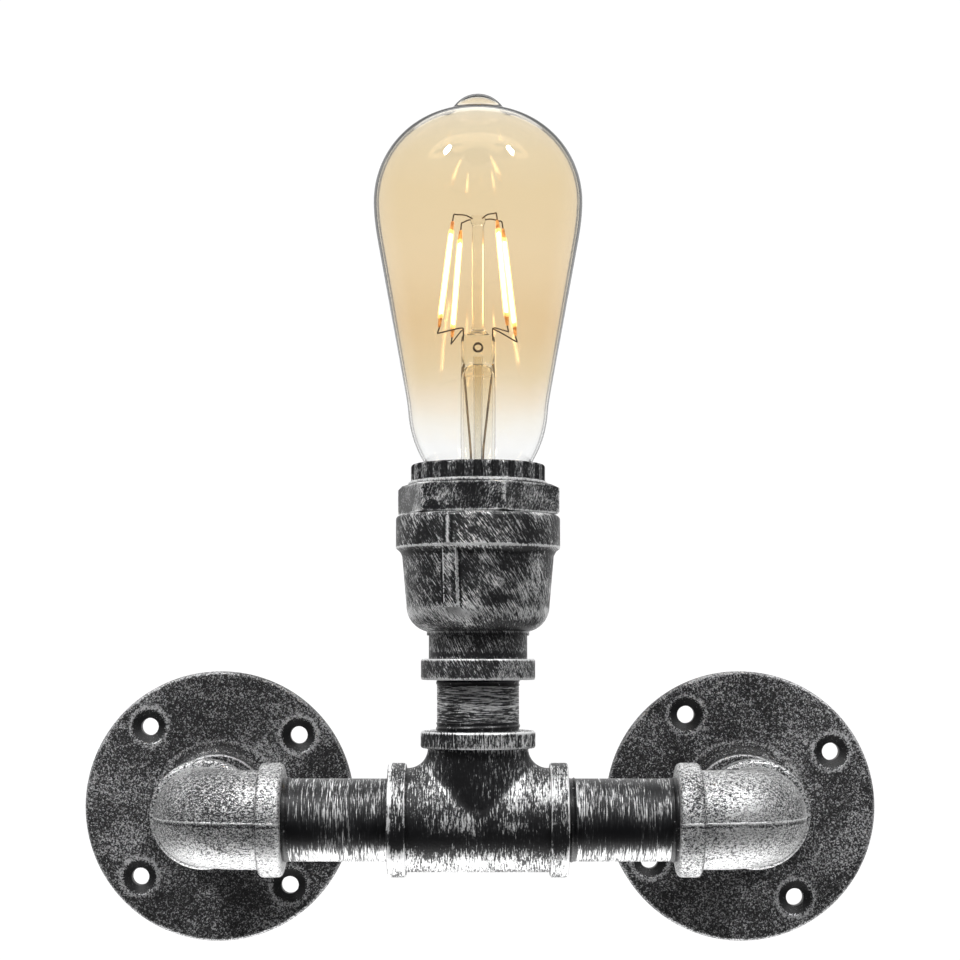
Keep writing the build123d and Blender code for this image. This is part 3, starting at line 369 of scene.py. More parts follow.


# Pipes: brushed round and round, so the strokes stand square to the axis. The level ones get a painted shade
# band across the middle and a painted light band below it.
pipeLook = dict(ironBase, grainGain=0.1, patchScale=75.0, patchGain=0.3, roughDark=0.36, pitting=0.25)
pipeStrokes = {"X": (3000.0, 150.0, 150.0), "Y": (150.0, 3000.0, 150.0), "Z": (150.0, 150.0, 3000.0)}
# painted shade band across the middle, painted light band below it
pipePaintedShadeAndLight = [(-2.6, 6.0, -0.1), (-10.5, 4.5, 0.12)]
pipes = {
    "left_cross_pipe": {"axis": "X", "threshold": 0.53, "levels": pipePaintedShadeAndLight},
    "right_cross_pipe": {"axis": "X", "threshold": 0.535, "levels": pipePaintedShadeAndLight},
    "riser_nipple": {"axis": "Z", "threshold": 0.487, "levels": []},
    "left_wall_nipple": {"axis": "Y", "threshold": 0.54, "levels": pipePaintedShadeAndLight},
    "right_wall_nipple": {"axis": "Y", "threshold": 0.54, "levels": pipePaintedShadeAndLight},
}
for node, pipe in pipes.items():
    dress(node, rubbedIron(node + "Iron", dict(
        pipeLook, strokeScale=pipeStrokes[pipe["axis"]], threshold=pipe["threshold"], levels=pipe["levels"])))

# Tee: upright strokes, light worn edges on its three bands, painted shade and highlight at the saddle,
# painted levels.
teeLook = dict(
    ironBase, strokeScale=(2600.0, 250.0, 280.0), threshold=0.52, patchGain=0.45, patchScale=75.0,
    saddle={"dark": -0.085, "darkDepth": 1.6, "light": 0.02, "lightDepth": 2.8, "lightWidth": 5.0,
            "wander": 2.0, "bandZ": (21.6, 20.2), "upperZ": (-3.0, 3.0)},
    # painted shade band across the middle, painted light band below it
    levels=((-4.5, 4.6, -0.12), (-12.5, 6.0, 0.11)),
    wearAndShade=[
        {"axis": "X", "centre": runCentre, "zones": [{"from": 16.2, "to": 16.9, "gain": 0.02}], "edges": [
            (17.1, -27.1, 0.8, 0.2),
            (17.1, 26.6, 0.8, 0.2),
            (17.1, -22.4, 0.6, 0.18),
            (17.1, 21.2, 0.6, 0.18)]},
        {"axis": "Z", "centre": lampCentre, "zones": [{"from": 16.2, "to": 16.9, "gain": -0.03}], "edges": [
            (17.3, 26.7, 0.8, 0.2),
            (17.3, 22.1, 0.6, 0.16)]}])
dress("tee", rubbedIron("teeIron", teeLook))

# Lamp cup: slanting strokes, worn band, rib and collar, painted shade under the band, over the collar and
# over the step.
cupLook = dict(
    ironBase, wrap=lampCentre, wrapRadius=22.0, strokeAngle=-56.0, strokeScale=(300.0, 3300.0, 700.0),
    threshold=0.528, patchScale=95.0, patchGain=0.4,
    ribs={"centre": lampCentre, "turn": -20.6, "endBlend": 0.3, "lines": [
        (2.1, 0.42, 0.22, 64.6, 82.0),
        # painted shade beside the rib
        (2.8, 0.6, -0.2, 64.0, 81.6),
        (0.0, 1.8, 0.05, 64.6, 82.0),
        (0.0, 0.75, 0.2, 83.0, 91.0),
        # painted shade beside the band's rib
        (1.25, 0.5, -0.12, 83.2, 91.0)]},
    wearAndShade=[{"axis": "Z", "centre": lampCentre, "edges": [
        (24.9, 82.5, 0.55, 0.34),                       # foot of the band
        (23.9, 80.6, 1.2, -0.14),                       # painted shadow under it
        (24.0, 92.2, 1.0, 0.1),                         # mouth
        (17.2, 42.7, 0.7, 0.22),                        # collar
        (17.2, 48.6, 0.7, 0.2),
        (15.3, 50.0, 1.4, -0.12),                       # painted shade over it
        (15.6, 56.9, 0.5, 0.12),                        # step of the neck
        # painted shade over the step
        (16.0, 58.4, 1.2, -0.12),
        (21.0, 62.8, 3.2, 0.1)]}])                      # foot of the bowl
dress("lamp_cup", rubbedIron("lampCupIron", cupLook))

# Hexagonal ring: scratched faces, light corners.
hexLook = dict(
    ironBase, wrap=lampCentre, wrapRadius=23.5, strokeAngle=68.0, strokeScale=(520.0, 2800.0, 900.0),
    waver=1.6, threshold=0.535, patchScale=110.0, patchGain=0.5, roughDark=0.33,
    wearAndShade=[{"axis": "Z", "centre": lampCentre, "zones": [{"from": 24.6, "to": 25.1, "gain": 0.1}], "edges": [
        (None, 92.9, 0.5, 0.14),
        (None, 101.2, 0.5, 0.14)]}])
dress("cup_hex_ring", rubbedIron("hexRingIron", hexLook))

# Shade ring: silver on its ribs, dark in its flutes.
ringLook = dict(
    ironBase, strokeScale=(2200.0, 2200.0, 600.0), threshold=0.60, depth=0.2, patchScale=120.0,
    patchGain=0.25, grainGain=0.2,
    wearAndShade=[{"axis": "Z", "centre": lampCentre, "zones": [{"from": 19.9, "to": 20.4, "gain": 0.09}], "edges": [
        (None, 107.9, 0.6, 0.08),
        (21.2, 102.3, 0.75, 0.24)]}])
dress("shade_ring", rubbedIron("shadeRingIron", ringLook))

# Flanges: sandy castings, brush touches on the rims only. Each screw hole lies in a dish.
flangeSides = {"left": {"side": -1, "dishTurn": 41.8}, "right": {"side": 1, "dishTurn": 30.7}}
flangeLook = dict(
    ironBase, strokeScale=(1300.0, 1300.0, 1300.0), threshold=0.43, softness=0.34, depth=0.45,
    patchScale=80.0, patchGain=0.45, grainScale=2300.0, grainGain=1.5, pitting=0.9, roughDark=0.5,
    mid=(0.020, 0.020, 0.021, 1), silverLow=(0.10, 0.10, 0.102, 1), silverHigh=(0.7, 0.7, 0.71, 1))
flangeDishes = {"ringRadius": 35.1, "dishRadius": 6.3, "rimWidth": 1.5, "rimGain": 0.2,
                "hollowInsets": (0.4, 1.2), "hollowGain": -0.3}
flangeEdges = [
    (44.2, -4.6, 1.0, 0.2),                             # outer rim
    (17.1, -12.2, 0.9, 0.3),                            # edge of the hub
    (19.4, -5.6, 1.6, -0.15),                           # painted shade round its foot
    (21.4, -5.0, 1.2, 0.16)]

# Elbows: silver all over, speckled with dark pits, with a painted shade line where the front band ends, and
# painted levels.
elbowReach = 26.9                   # from a flange's axis to the mouth of its elbow, mm
elbowLook = dict(
    ironBase, strokeScale=(1000.0, 1000.0, 1900.0), threshold=0.42, softness=0.09, depth=0.25,
    patchScale=48.0, patchGain=0.3, grainScale=2300.0, grainGain=0.6, pitting=0.9,
    metalSilver=0.6, roughSilver=0.38, silverLow=(0.3, 0.303, 0.308, 1),
    # painted levels: light over the lower part, shade just under the seam, a highlight on the seam
    levels=[(-13.0, 9.0, 0.06), (-1.0, 0.6, -0.1), (0.0, 0.4, 0.15)])
elbowBand = {"radius": 16.9, "width": 7.2, "shadeLineWidth": 0.6, "shadeLineGain": -0.12}

for word, flange in flangeSides.items():
    flangeCentre = (flange["side"] * halfSpacing, 0, 0)
    mouth = (flange["side"] * (halfSpacing - elbowReach), lampY, 0)
    bandEndShade = (elbowBand["radius"], flange["side"] * elbowBand["width"],
               elbowBand["shadeLineWidth"], elbowBand["shadeLineGain"])
    dress(f"{word}_flange", rubbedIron(f"{word}FlangeIron", dict(
        flangeLook, dishes=dict(flangeDishes, centre=flangeCentre, turn=flange["dishTurn"]),
        wearAndShade=[{"axis": "Y", "centre": flangeCentre, "edges": flangeEdges}])))
    dress(f"{word}_elbow", rubbedIron(f"{word}ElbowIron", dict(
        elbowLook, wearAndShade=[{"axis": "X", "centre": mouth, "edges": [bandEndShade]}])))
print("iron materials made")


# The values of a noise between which a blend runs.
spread = {"wide": (0.3, 0.7), "middle": (0.35, 0.65), "narrow": (0.48, 0.52)}

finishBase = {"nodes": [], "metallic": 0.0, "glow": 0.0, "slow": 90.0, "slowShare": 0.7,
              "fine": 1800.0, "fineShare": 0.3, "bump": 0.2, "bumpDepth": 0.0001}


# Finishes of the small parts: colour varied by slow noise, roughness and relief by fine noise.
def smallFinish(name, look):
    material, tree, shader, place = newMaterial(name)
    slow = noise(tree, place, look["slow"], detail=3.0, roughness=0.5)
    fine = noise(tree, place, look["fine"], detail=3.0, roughness=0.6)
    mixed = calc(tree, "MULTIPLY", fine, look["fineShare"])
    mixed = calc(tree, "MULTIPLY_ADD", slow, look["slowShare"], mixed)
    colour = blendColour(tree, ramp(tree, mixed, *spread["middle"]), look["first"], look["second"])
    shader.inputs["Metallic"].default_value = look["metallic"]
    # a glow above 0 gives off the colour as a painted glow
    shader.inputs["Emission Strength"].default_value = look["glow"]
    connect(tree, shader, Base_Color=colour, Emission_Color=colour,
            Roughness=ramp(tree, fine, *spread["wide"], *look["rough"]))
    addBump(tree, shader, fine, look["bump"], look["bumpDepth"])
    return material


smallFinishes = {
    "blackMoulding": {"nodes": ["lampholder_body"], "rough": (0.3, 0.5),
                      "first": (0.012, 0.012, 0.013, 1), "second": (0.03, 0.029, 0.028, 1)},
    "stampedBrass": {"nodes": ["centre_terminal", "shell_terminal"], "rough": (0.22, 0.4), "metallic": 1.0,
                     "first": (0.6, 0.42, 0.16, 1), "second": (0.78, 0.6, 0.3, 1)},
    "zincSteel": {"nodes": ["terminal_screws", "earth_screw"], "rough": (0.25, 0.4), "metallic": 1.0,
                  "first": (0.5, 0.51, 0.53, 1), "second": (0.68, 0.68, 0.69, 1)},
    "springBronze": {"nodes": ["contact_tongue"], "rough": (0.2, 0.35), "metallic": 1.0,
                     "first": (0.55, 0.3, 0.14, 1), "second": (0.72, 0.45, 0.25, 1)},
    "nickelCap": {"nodes": ["cap_contact"], "rough": (0.16, 0.32), "metallic": 1.0,
                  "first": (0.55, 0.53, 0.48, 1), "second": (0.74, 0.72, 0.67, 1)},
    "blackGlass": {"nodes": ["cap_insulator"], "rough": (0.05, 0.15), "bump": 0.05,
                   "first": (0.01, 0.008, 0.01, 1), "second": (0.03, 0.02, 0.028, 1)},
    "brownSheath": {"nodes": ["live_wire"], "rough": (0.35, 0.5),
                    "first": (0.16, 0.06, 0.02, 1), "second": (0.22, 0.09, 0.03, 1)},
    "blueSheath": {"nodes": ["neutral_wire"], "rough": (0.35, 0.5),
                   "first": (0.02, 0.08, 0.32, 1), "second": (0.03, 0.12, 0.42, 1)},
    "tinnedCopper": {"nodes": ["wire_ferrules", "earth_lug"], "rough": (0.2, 0.4), "metallic": 1.0,
                     "first": (0.6, 0.6, 0.58, 1), "second": (0.76, 0.75, 0.73, 1)},
    # filament ends: copper tabs with a painted orange glow; they give no light of their own
    "copperTabPaintedGlow": {"rough": (0.35, 0.5), "slow": 600.0, "glow": 0.45,
                  "first": (0.5, 0.17, 0.04, 1), "second": (0.95, 0.5, 0.16, 1)},
    "darkWire": {"rough": (0.3, 0.45), "metallic": 0.7, "slow": 300.0,
                 "first": (0.03, 0.02, 0.012, 1), "second": (0.12, 0.075, 0.04, 1)},
    "leadWire": {"rough": (0.25, 0.4), "metallic": 0.8, "slow": 200.0,
                 "first": (0.14, 0.09, 0.04, 1), "second": (0.4, 0.27, 0.12, 1)},
    "greenBoard": {"nodes": ["driver_board"], "rough": (0.3, 0.45),
                   "first": (0.01, 0.09, 0.04, 1), "second": (0.02, 0.14, 0.07, 1)},
    "boardParts": {"nodes": ["driver_parts"], "rough": (0.25, 0.4),
                   "first": (0.015, 0.015, 0.018, 1), "second": (0.06, 0.06, 0.065, 1)},
}
finishes = {}
for name, look in smallFinishes.items():
    look = dict(finishBase, **look)
    finishes[name] = smallFinish(name, look)
    for node in look["nodes"]:
        dress(node, finishes[name])


# Green and yellow earth wire: patches of both colours along it.
earthLook = {"green": (0.05, 0.25, 0.05, 1), "yellow": (0.75, 0.6, 0.03, 1), "patchScale": 160.0,
             "fine": 1500.0, "rough": (0.35, 0.5)}


def earthSheath(look):
    material, tree, shader, place = newMaterial("earthSheath")
    patches = noise(tree, place, look["patchScale"], detail=1.0, roughness=0.4)
    share = ramp(tree, patches, *spread["narrow"])
    connect(tree, shader, Base_Color=blendColour(tree, share, look["green"], look["yellow"]),
            Roughness=ramp(tree, noise(tree, place, look["fine"]), *spread["wide"], *look["rough"]))
    return material


dress("earth_wire", earthSheath(earthLook))


glassBase = {"wanderScale": 40.0, "wander": 0.008, "paintedEdgeShade": (0.71, 0.9), "edgeShadeAtFoot": 0.35, "edgeShadeIor": 1.08,
             "rippleScale": 60.0, "rippleDepth": 0.001}


# Glass whose tint follows its height (stops of height in mm and colour), with a faint unevenness. Where its
# wall is seen edgewise it gets a painted dark outline, most of all above the second edge-shade height.
def tintedGlass(name, look):
    material, tree, shader, place = newMaterial(name)
    height = coordinate(tree, place, 2)
    wander = calc(tree, "SUBTRACT", noise(tree, place, look["wanderScale"], detail=2.0), 0.5)
    low, high = look["stops"][0][0], look["stops"][-1][0]
    level = calc(tree, "ADD", height, calc(tree, "MULTIPLY", wander, look["wander"]))
    inputs = {"Value": level, "From Min": low * mm, "From Max": high * mm}
    share = makeNode(tree, "ShaderNodeMapRange", inputs).outputs[0]
    colours = makeNode(tree, "ShaderNodeValToRGB", {0: share})
    elements = colours.color_ramp.elements
    elements.remove(elements[1])
    for number, (stop, colour) in enumerate(look["stops"]):
        element = elements[0] if number == 0 else elements.new((stop - low) / (high - low))
        element.position = (stop - low) / (high - low)
        element.color = (*colour, 1)
    facing = makeNode(tree, "ShaderNodeLayerWeight", {"Blend": 0.5}).outputs["Facing"]
    rise = ramp(tree, height, *(z * mm for z in look["edgeShadeHeights"]), look["edgeShadeAtFoot"], 1.0)
    paintedEdgeShade = calc(tree, "MULTIPLY", ramp(tree, facing, *look["paintedEdgeShade"]), rise)
    # painted dark outline: colour, specular tint and IOR turn to the rim values where the wall is seen
    # edgewise
    connect(tree, shader,
            Base_Color=blendColour(tree, paintedEdgeShade, colours.outputs[0], look["rim"]),
            Specular_Tint=blendColour(tree, paintedEdgeShade, (1, 1, 1, 1), look["rim"]),
            IOR=ramp(tree, paintedEdgeShade, 0.0, 1.0, look["ior"], look["edgeShadeIor"]))
    shader.inputs["Transmission Weight"].default_value = 1.0
    shader.inputs["Roughness"].default_value = look["rough"]
    shader.inputs["IOR"].default_value = look["ior"]
    ripples = noise(tree, place, look["rippleScale"], detail=1.0)
    addBump(tree, shader, ripples, look["ripple"], look["rippleDepth"])
    return material


# rim is the colour of the painted dark outline
envelopeGlass = tintedGlass("envelopeGlass", dict(
    glassBase, rough=0.0, ior=1.45, ripple=0.03, rim=(0.22, 0.13, 0.06, 1), edgeShadeHeights=(118, 190), stops=[
        (113, (0.975, 0.98, 0.982)), (121, (0.965, 0.95, 0.91)), (128, (0.93, 0.868, 0.77)),
        (136, (0.885, 0.795, 0.635)), (150, (0.87, 0.742, 0.553)), (171, (0.905, 0.80, 0.63)),
        (199, (0.885, 0.79, 0.615)), (214, (0.89, 0.825, 0.70))]))
stemGlass = tintedGlass("stemGlass", dict(
    glassBase, rough=0.01, ior=1.47, ripple=0.08, rim=(0.2, 0.13, 0.07, 1), edgeShadeHeights=(60, 90), stops=[
        (100, (0.975, 0.975, 0.965)), (120, (0.965, 0.94, 0.88)), (140, (0.95, 0.91, 0.82)),
        (185, (0.965, 0.95, 0.91))]))

glowLooks = {
    "filamentCoat": {"cover": 0.55, "strength": 1.5,
                     "first": (1.0, 0.74, 0.30, 1), "second": (1.0, 0.80, 0.40, 1)},
    "filamentCore": {"cover": 1.0, "strength": 14.0,
                     "first": (1.0, 0.85, 0.58, 1), "second": (1.0, 0.88, 0.64, 1)},
    "base": (1.0, 0.8, 0.4, 1), "rough": 0.5, "noiseScale": 700.0,
}


# Glowing filament: a white-hot core in a thinner, yellow coat that lets it show.
def glowingCoat(name):
    material, tree, shader, place = newMaterial(name)
    look = glowLooks[name]
    share = ramp(tree, noise(tree, place, glowLooks["noiseScale"], detail=2.0), *spread["middle"])
    shader.inputs["Base Color"].default_value = glowLooks["base"]
    shader.inputs["Roughness"].default_value = glowLooks["rough"]
    shader.inputs["Alpha"].default_value = look["cover"]
    shader.inputs["Emission Strength"].default_value = look["strength"]
    connect(tree, shader, Emission_Color=blendColour(tree, share, look["first"], look["second"]))
    return material


filamentCoat, filamentCore = glowingCoat("filamentCoat"), glowingCoat("filamentCore")
print("small finishes made")


# Pipe threads that show outside the fittings: radius = root + crest w ^ sharpness, where
# w = (1 + cos(2 pi s / pitch - t)) / 2, faded out at both ends and closed by a skin under the pipe's surface.
threads = {
    "root": 12.52, "crest": 0.3, "sharpness": 1.5, "pitch": 1.81, "fade": 0.35, "under": 0.4, "rows": 40,
    "runs": {                                          # name: axis, centre, first and last place along it
        "teeRightThread": ("X", runCentre, 26.3, 28.9),
        "leftElbowThread": ("X", runCentre, -59.9, -57.4),
        "rightElbowThread": ("X", runCentre, 57.2, 59.9),
        "riserFootThread": ("Z", lampCentre, 26.7, 29.6),
        "riserTopThread": ("Z", lampCentre, 40.6, 42.7),
        "leftHubThread": ("Y", (-halfSpacing, 0, 0), -14.9, -12.2),
        "rightHubThread": ("Y", (halfSpacing, 0, 0), -14.9, -12.2),
        "leftRearThread": ("Y", (-halfSpacing, 0, 0), -35.4, -32.9),
        "rightRearThread": ("Y", (halfSpacing, 0, 0), -35.4, -32.9),
    },
}


def threadSleeve(first, last, centre, axis, steps=120):
    place = np.linspace(first, last, threads["rows"])[:, None]
    angle = np.linspace(0, 2 * np.pi, steps + 1)[None, :]
    wave = (1 + np.cos(2 * np.pi * (place - first) / threads["pitch"] - angle)) / 2
    ends = np.clip(np.minimum(place - first, last - place) / threads["fade"], 0, 1)
    radius = threads["root"] + threads["crest"] * wave ** threads["sharpness"] * ends
    under = np.full((2, steps + 1), threads["root"] - threads["under"])
    radius = np.concatenate([radius, under, radius[:1]])
    place = np.concatenate([place, [[last], [first], [first]]])
    h = np.repeat(place, steps + 1, axis=1)
    return onAxis(axis, radius * np.cos(angle), radius * np.sin(angle), h, centre)


# Thread iron: less silver than the pipes, as painted shade in the thread grooves.
threadIronPaintedShade = rubbedIron("threadIronPaintedShade", dict(
    ironBase, strokeScale=(900.0, 900.0, 900.0), threshold=0.62, grainGain=0.2, patchGain=0.1,
    roughDark=0.32))
for name, (axis, centre, first, last) in threads["runs"].items():
    gridPiece(name, [threadSleeve(first, last, centre, axis)], "fitting", threadIronPaintedShade,
              sharpAngle=40)
print("pipe threads made:", len(threads["runs"]))


# Casting seam of an elbow: a thin bead on its outer middle line, in the plane of the pipes. It leaves the
# front band, goes round the bend (radius = bend + body) and ends on the rear band.
seam = {"halfWidth": 0.34, "proud": 0.2, "bend": 16.5, "bodyRadius": 15.0, "bandRadius": 17.25,
        "bandWidth": 7.4, "bandEdge": 1.6,
        "cornerIn": 0.4, "cornerDrop": 0.5,             # where it leaves the band's face
        "footOut": 0.1, "footRise": 0.2, "bodyFrom": 0.6, "rearGap": 0.2}


def elbowSeam(side):
    step = seam["bandRadius"] - seam["bodyRadius"]
    outer = seam["bend"] + seam["bodyRadius"]
    turnCentre = np.array([halfSpacing - seam["bend"], lampY + seam["bend"]])
    frontY = lampY - seam["bodyRadius"]
    mouthX = halfSpacing - elbowReach
    bandEndX = mouthX + seam["bandWidth"]
    band = [(mouthX + seam["bandEdge"], frontY - step), (bandEndX - seam["bandEdge"], frontY - step),
            (bandEndX - seam["cornerIn"], frontY - step + seam["cornerDrop"]),
            (bandEndX + seam["footOut"], frontY - seam["footRise"])]
    straight = np.linspace((bandEndX + seam["bodyFrom"], frontY), (turnCentre[0], frontY), 5)
    angle = np.linspace(-np.pi / 2, 0, 48)[1:]
    bend = turnCentre + outer * np.stack([np.cos(angle), np.sin(angle)], -1)
    rear = [(bend[-1, 0], lampY + elbowReach - seam["bandWidth"] - seam["rearGap"])]
    line = np.concatenate([band, straight, bend, rear])
    line = np.stack([side * line[:, 0], line[:, 1], np.zeros(len(line))], -1)
    return wireAlong(line, seam["halfWidth"], seam["proud"], side=(0, 0, 1))


for word, flange in flangeSides.items():
    gridPiece(f"{word}ElbowSeam", [elbowSeam(flange["side"])], "fitting",
              nodes[f"{word}_elbow"].data.materials[0], sharpAngle=40)
print("elbow seams made")


bulb = {
    "neck": (12.4, 96.0), "rim": (12.4, 101.6), "throat": (16.9, 109.3), "flank": (21.5, 126.0),
    "chest": (31.0, 178.0), "shoulder": (3.6, 189.0), "shoulderRadius": 28.5, "tipBase": 10.6,
    "waist": (7.4, 218.8), "tipZ": 222.5, "wall": 0.8, "easing": 3,
}


# The bulb's outline from its neck to its tip, drawn in by an inset: lines and arcs that meet smoothly.
def bulbOutline(inset):
    shoulderX, shoulderZ = bulb["shoulder"]
    radius = bulb["shoulderRadius"] - inset
    baseZ = shoulderZ + math.sqrt(radius ** 2 - (bulb["tipBase"] - shoulderX) ** 2)
    waistPoint = (bulb["waist"][0], bulb["waist"][1] - inset)
    drawn = lambda key: np.array([bulb[key][0] - inset, bulb[key][1]])
    neck = np.linspace(drawn("neck"), drawn("rim"), 5)
    cone = np.linspace(drawn("rim"), drawn("throat"), 8)
    throat = arcTo(cone[-1], headingAt(cone), drawn("flank"), steps=16)
    flank = np.linspace(throat[-1], drawn("chest"), 26)
    chest = arcTo(flank[-1], headingAt(flank), (shoulderX + radius, shoulderZ), steps=14)
    shoulder = arcTo(chest[-1], (0, 1), (bulb["tipBase"], baseZ), steps=32)
    waist = arcTo(shoulder[-1], headingAt(shoulder), waistPoint, steps=10)
    tip = arcTo((0, bulb["tipZ"] - inset), (1, 0), waist[-1], steps=14)[::-1]
    rows = np.concatenate([neck] + [part[1:] for part in (cone, throat, flank, chest, shoulder, waist, tip)])
    for _ in range(bulb["easing"]):                    # the joints between the arcs are eased
        rows[3:-3] = (rows[2:-4] + 2 * rows[3:-3] + rows[4:-2]) / 4
    return rows


envelope = np.concatenate([bulbOutline(bulb["wall"])[::-1], bulbOutline(0)])
gridPiece("glassEnvelope", [turned(envelope, steps=160)], "bulb", envelopeGlass,
          ["bulb_glass"], sharpAngle=60)
print("bulb envelope made")


# Glass stem: rows of radius across, radius deep and height, where it is pressed flat, and a round rod.
stem = {
    "outside": [
        (11.5, 11.5, 96.0), (11.4, 11.4, 97.0), (8.6, 8.6, 98.3), (6.1, 6.1, 100.4), (5.3, 5.3, 104.0),
        (5.3, 5.3, 118.0), (5.3, 5.3, 132.0), (5.25, 4.9, 136.2), (5.1, 3.3, 138.6), (5.15, 2.3, 141.4),
        (5.2, 2.1, 144.5), (5.1, 2.0, 147.0), (4.6, 1.6, 147.9), (3.0, 1.2, 148.1), (0.0, 0.0, 148.1)],
    "inside": [
        (0.0, 0.0, 138.4), (1.4, 0.7, 138.3), (3.2, 1.7, 137.3), (4.2, 3.2, 135.2), (4.4, 4.2, 132.0),
        (4.4, 4.4, 118.0), (4.4, 4.4, 104.4), (5.3, 5.3, 100.2), (7.8, 7.8, 97.4), (10.4, 10.4, 96.0)],
    "rod": [
        (0.0, 147.6), (3.3, 147.7), (3.1, 148.3), (2.3, 149.3), (1.95, 150.8), (1.85, 153.0),
        (1.85, 165.0), (1.85, 178.0), (1.85, 181.6), (2.15, 182.5), (2.32, 183.5), (2.2, 184.4),
        (1.5, 184.95), (0.0, 185.0)],
}
exhaust = {"outer": 1.35, "inner": 0.95, "footZ": 90.5, "topZ": 141.0}
pressEye = {"radius": 1.25, "thick": 0.22, "z": 144.0, "front": 2.0}

stemSkin = np.concatenate([smoothLine(stem["inside"], steps=6), smoothLine(stem["outside"], steps=6)])
gridPiece("stemGlassTube", [turned(stemSkin, steps=72)], "bulb", stemGlass, ["glass_stem"])
rodSkin = smoothLine(stem["rod"], steps=6)
gridPiece("stemGlassRod", [turned(rodSkin, steps=40)], "bulb", stemGlass, ["stem_rod"])
exhaustSkin = [(exhaust["inner"], exhaust["footZ"]), (exhaust["outer"], exhaust["footZ"]),
               (exhaust["outer"], exhaust["topZ"]), (exhaust["inner"], exhaust["topZ"]),
               (exhaust["inner"], exhaust["footZ"])]
gridPiece("exhaustTube", [turned(exhaustSkin, steps=32)], "bulb", stemGlass, sharpAngle=40)
eyeTurn = np.linspace(0, 2 * np.pi, 17)
eyeProfile = np.stack([pressEye["radius"] + pressEye["thick"] * np.cos(eyeTurn),
                       pressEye["thick"] * np.sin(eyeTurn)], -1)
eyeCentres = [(lampX, lampY + side * pressEye["front"], pressEye["z"]) for side in (-1, 1)]
eyes = [turned(eyeProfile, centre, "Y", steps=28) for centre in eyeCentres]
gridPiece("pressEye", eyes, "bulb", finishes["darkWire"], sharpAngle=40)
print("glass stem made")


filaments = {
    "turns": (35.0, 125.0, 215.0, 308.0), "footRadius": 14.2, "footZ": 149.6, "topRadius": 9.5, "topZ": 181.4,
    "thick": 0.85, "core": 0.5, "coreInset": 0.8, "wire": 0.22,
}
tab = {"length": 2.7, "wide": 0.84, "thin": 0.5, "taper": 0.55, "past": 0.2, "into": 0.3, "rows": 10}
crown = {"buttonRadius": 2.1, "buttonZ": 183.7, "z": 184.4,
         "bends": [(0.5, 0.0), (0.84, 0.2), (0.94, 0.3)],           # share of the top radius, drop
         "beyond": 1.2, "within": 0.4}                              # from the filament's top, along it
support = {"x": 4.5, "pressY": 0.9, "pressZ": 146.2, "rise": 2.6, "bendRise": 3.3, "bendShare": 0.1,
           "dip": 2.1, "dipShare": 0.07, "hook": 2.5, "hookShare": 0.03, "below": 1.0, "within": 0.3}


def lampPoint(turn, radius, z):
    angle = math.radians(turn)
    return np.array([lampX + radius * math.cos(angle), lampY + radius * math.sin(angle), z])


# Upper wire of a filament: from the rod's button outwards, level and then over the filament's top.
def crownWire(turn, top, along):
    line = [lampPoint(turn, crown["buttonRadius"], crown["buttonZ"])]
    for share, drop in crown["bends"]:
        line.append(lampPoint(turn, filaments["topRadius"] * share, crown["z"] - drop))
    return line + [top + along * crown["beyond"], top - along * crown["within"]]


# Lower wire of a filament: up out of the press, outwards, and round under the filament's foot.
def supportWire(turn, foot, along):
    sideX = math.copysign(support["x"], math.cos(math.radians(turn)))
    sideY = math.copysign(support["pressY"], math.sin(math.radians(turn)))
    press = np.array([lampX + sideX, lampY + sideY, support["pressZ"]])
    bend = press * (1 - support["bendShare"]) + foot * support["bendShare"] + (0, 0, support["bendRise"])
    dip = (foot - along * support["dip"]) * (1 - support["dipShare"]) + press * support["dipShare"]
    hook = foot - along * support["hook"] + (foot - press) * support["hookShare"]
    return [press, press + (0, 0, support["rise"]), bend, dip, hook,
            foot - along * support["below"], foot + along * support["within"]]


tabs, crownWires, supportWires = [], [], []
for number, turn in enumerate(filaments["turns"], start=1):
    foot = lampPoint(turn, filaments["footRadius"], filaments["footZ"])
    top = lampPoint(turn, filaments["topRadius"], filaments["topZ"])
    along = (top - foot) / np.linalg.norm(top - foot)
    sideways = (-math.sin(math.radians(turn)), math.cos(math.radians(turn)), 0)
    inset = tab["length"] + filaments["coreInset"]
    rod = np.linspace(foot + along * tab["length"], top - along * tab["length"], 24)
    core = np.linspace(foot + along * inset, top - along * inset, 20)
    gridPiece(f"filamentCoat{number}", [wireAlong(rod, filaments["thick"], sides=16)], "bulb",
              filamentCoat, [f"filament_{number}"])
    gridPiece(f"filamentCore{number}", [wireAlong(core, filaments["core"])], "bulb",
              filamentCore)
    taper = np.linspace(tab["taper"], 1.0, tab["rows"])
    for end, direction in ((foot, along), (top, -along)):
        line = end + direction * np.linspace(-tab["past"], tab["length"] + tab["into"], tab["rows"])[:, None]
        tabs.append(wireAlong(line, tab["wide"] * taper, tab["thin"], side=sideways))
    crownWires.append(wireAlong(smoothLine(crownWire(turn, top, along)), filaments["wire"]))
    supportWires.append(wireAlong(smoothLine(supportWire(turn, foot, along)), filaments["wire"]))
gridPiece("filamentEnds", tabs, "bulb", finishes["copperTabPaintedGlow"], ["filament_tabs"])
gridPiece("crownWireSet", crownWires, "bulb", finishes["darkWire"], ["crown_wires"])
gridPiece("supportWireSet", supportWires, "bulb", finishes["darkWire"], ["support_wires"])

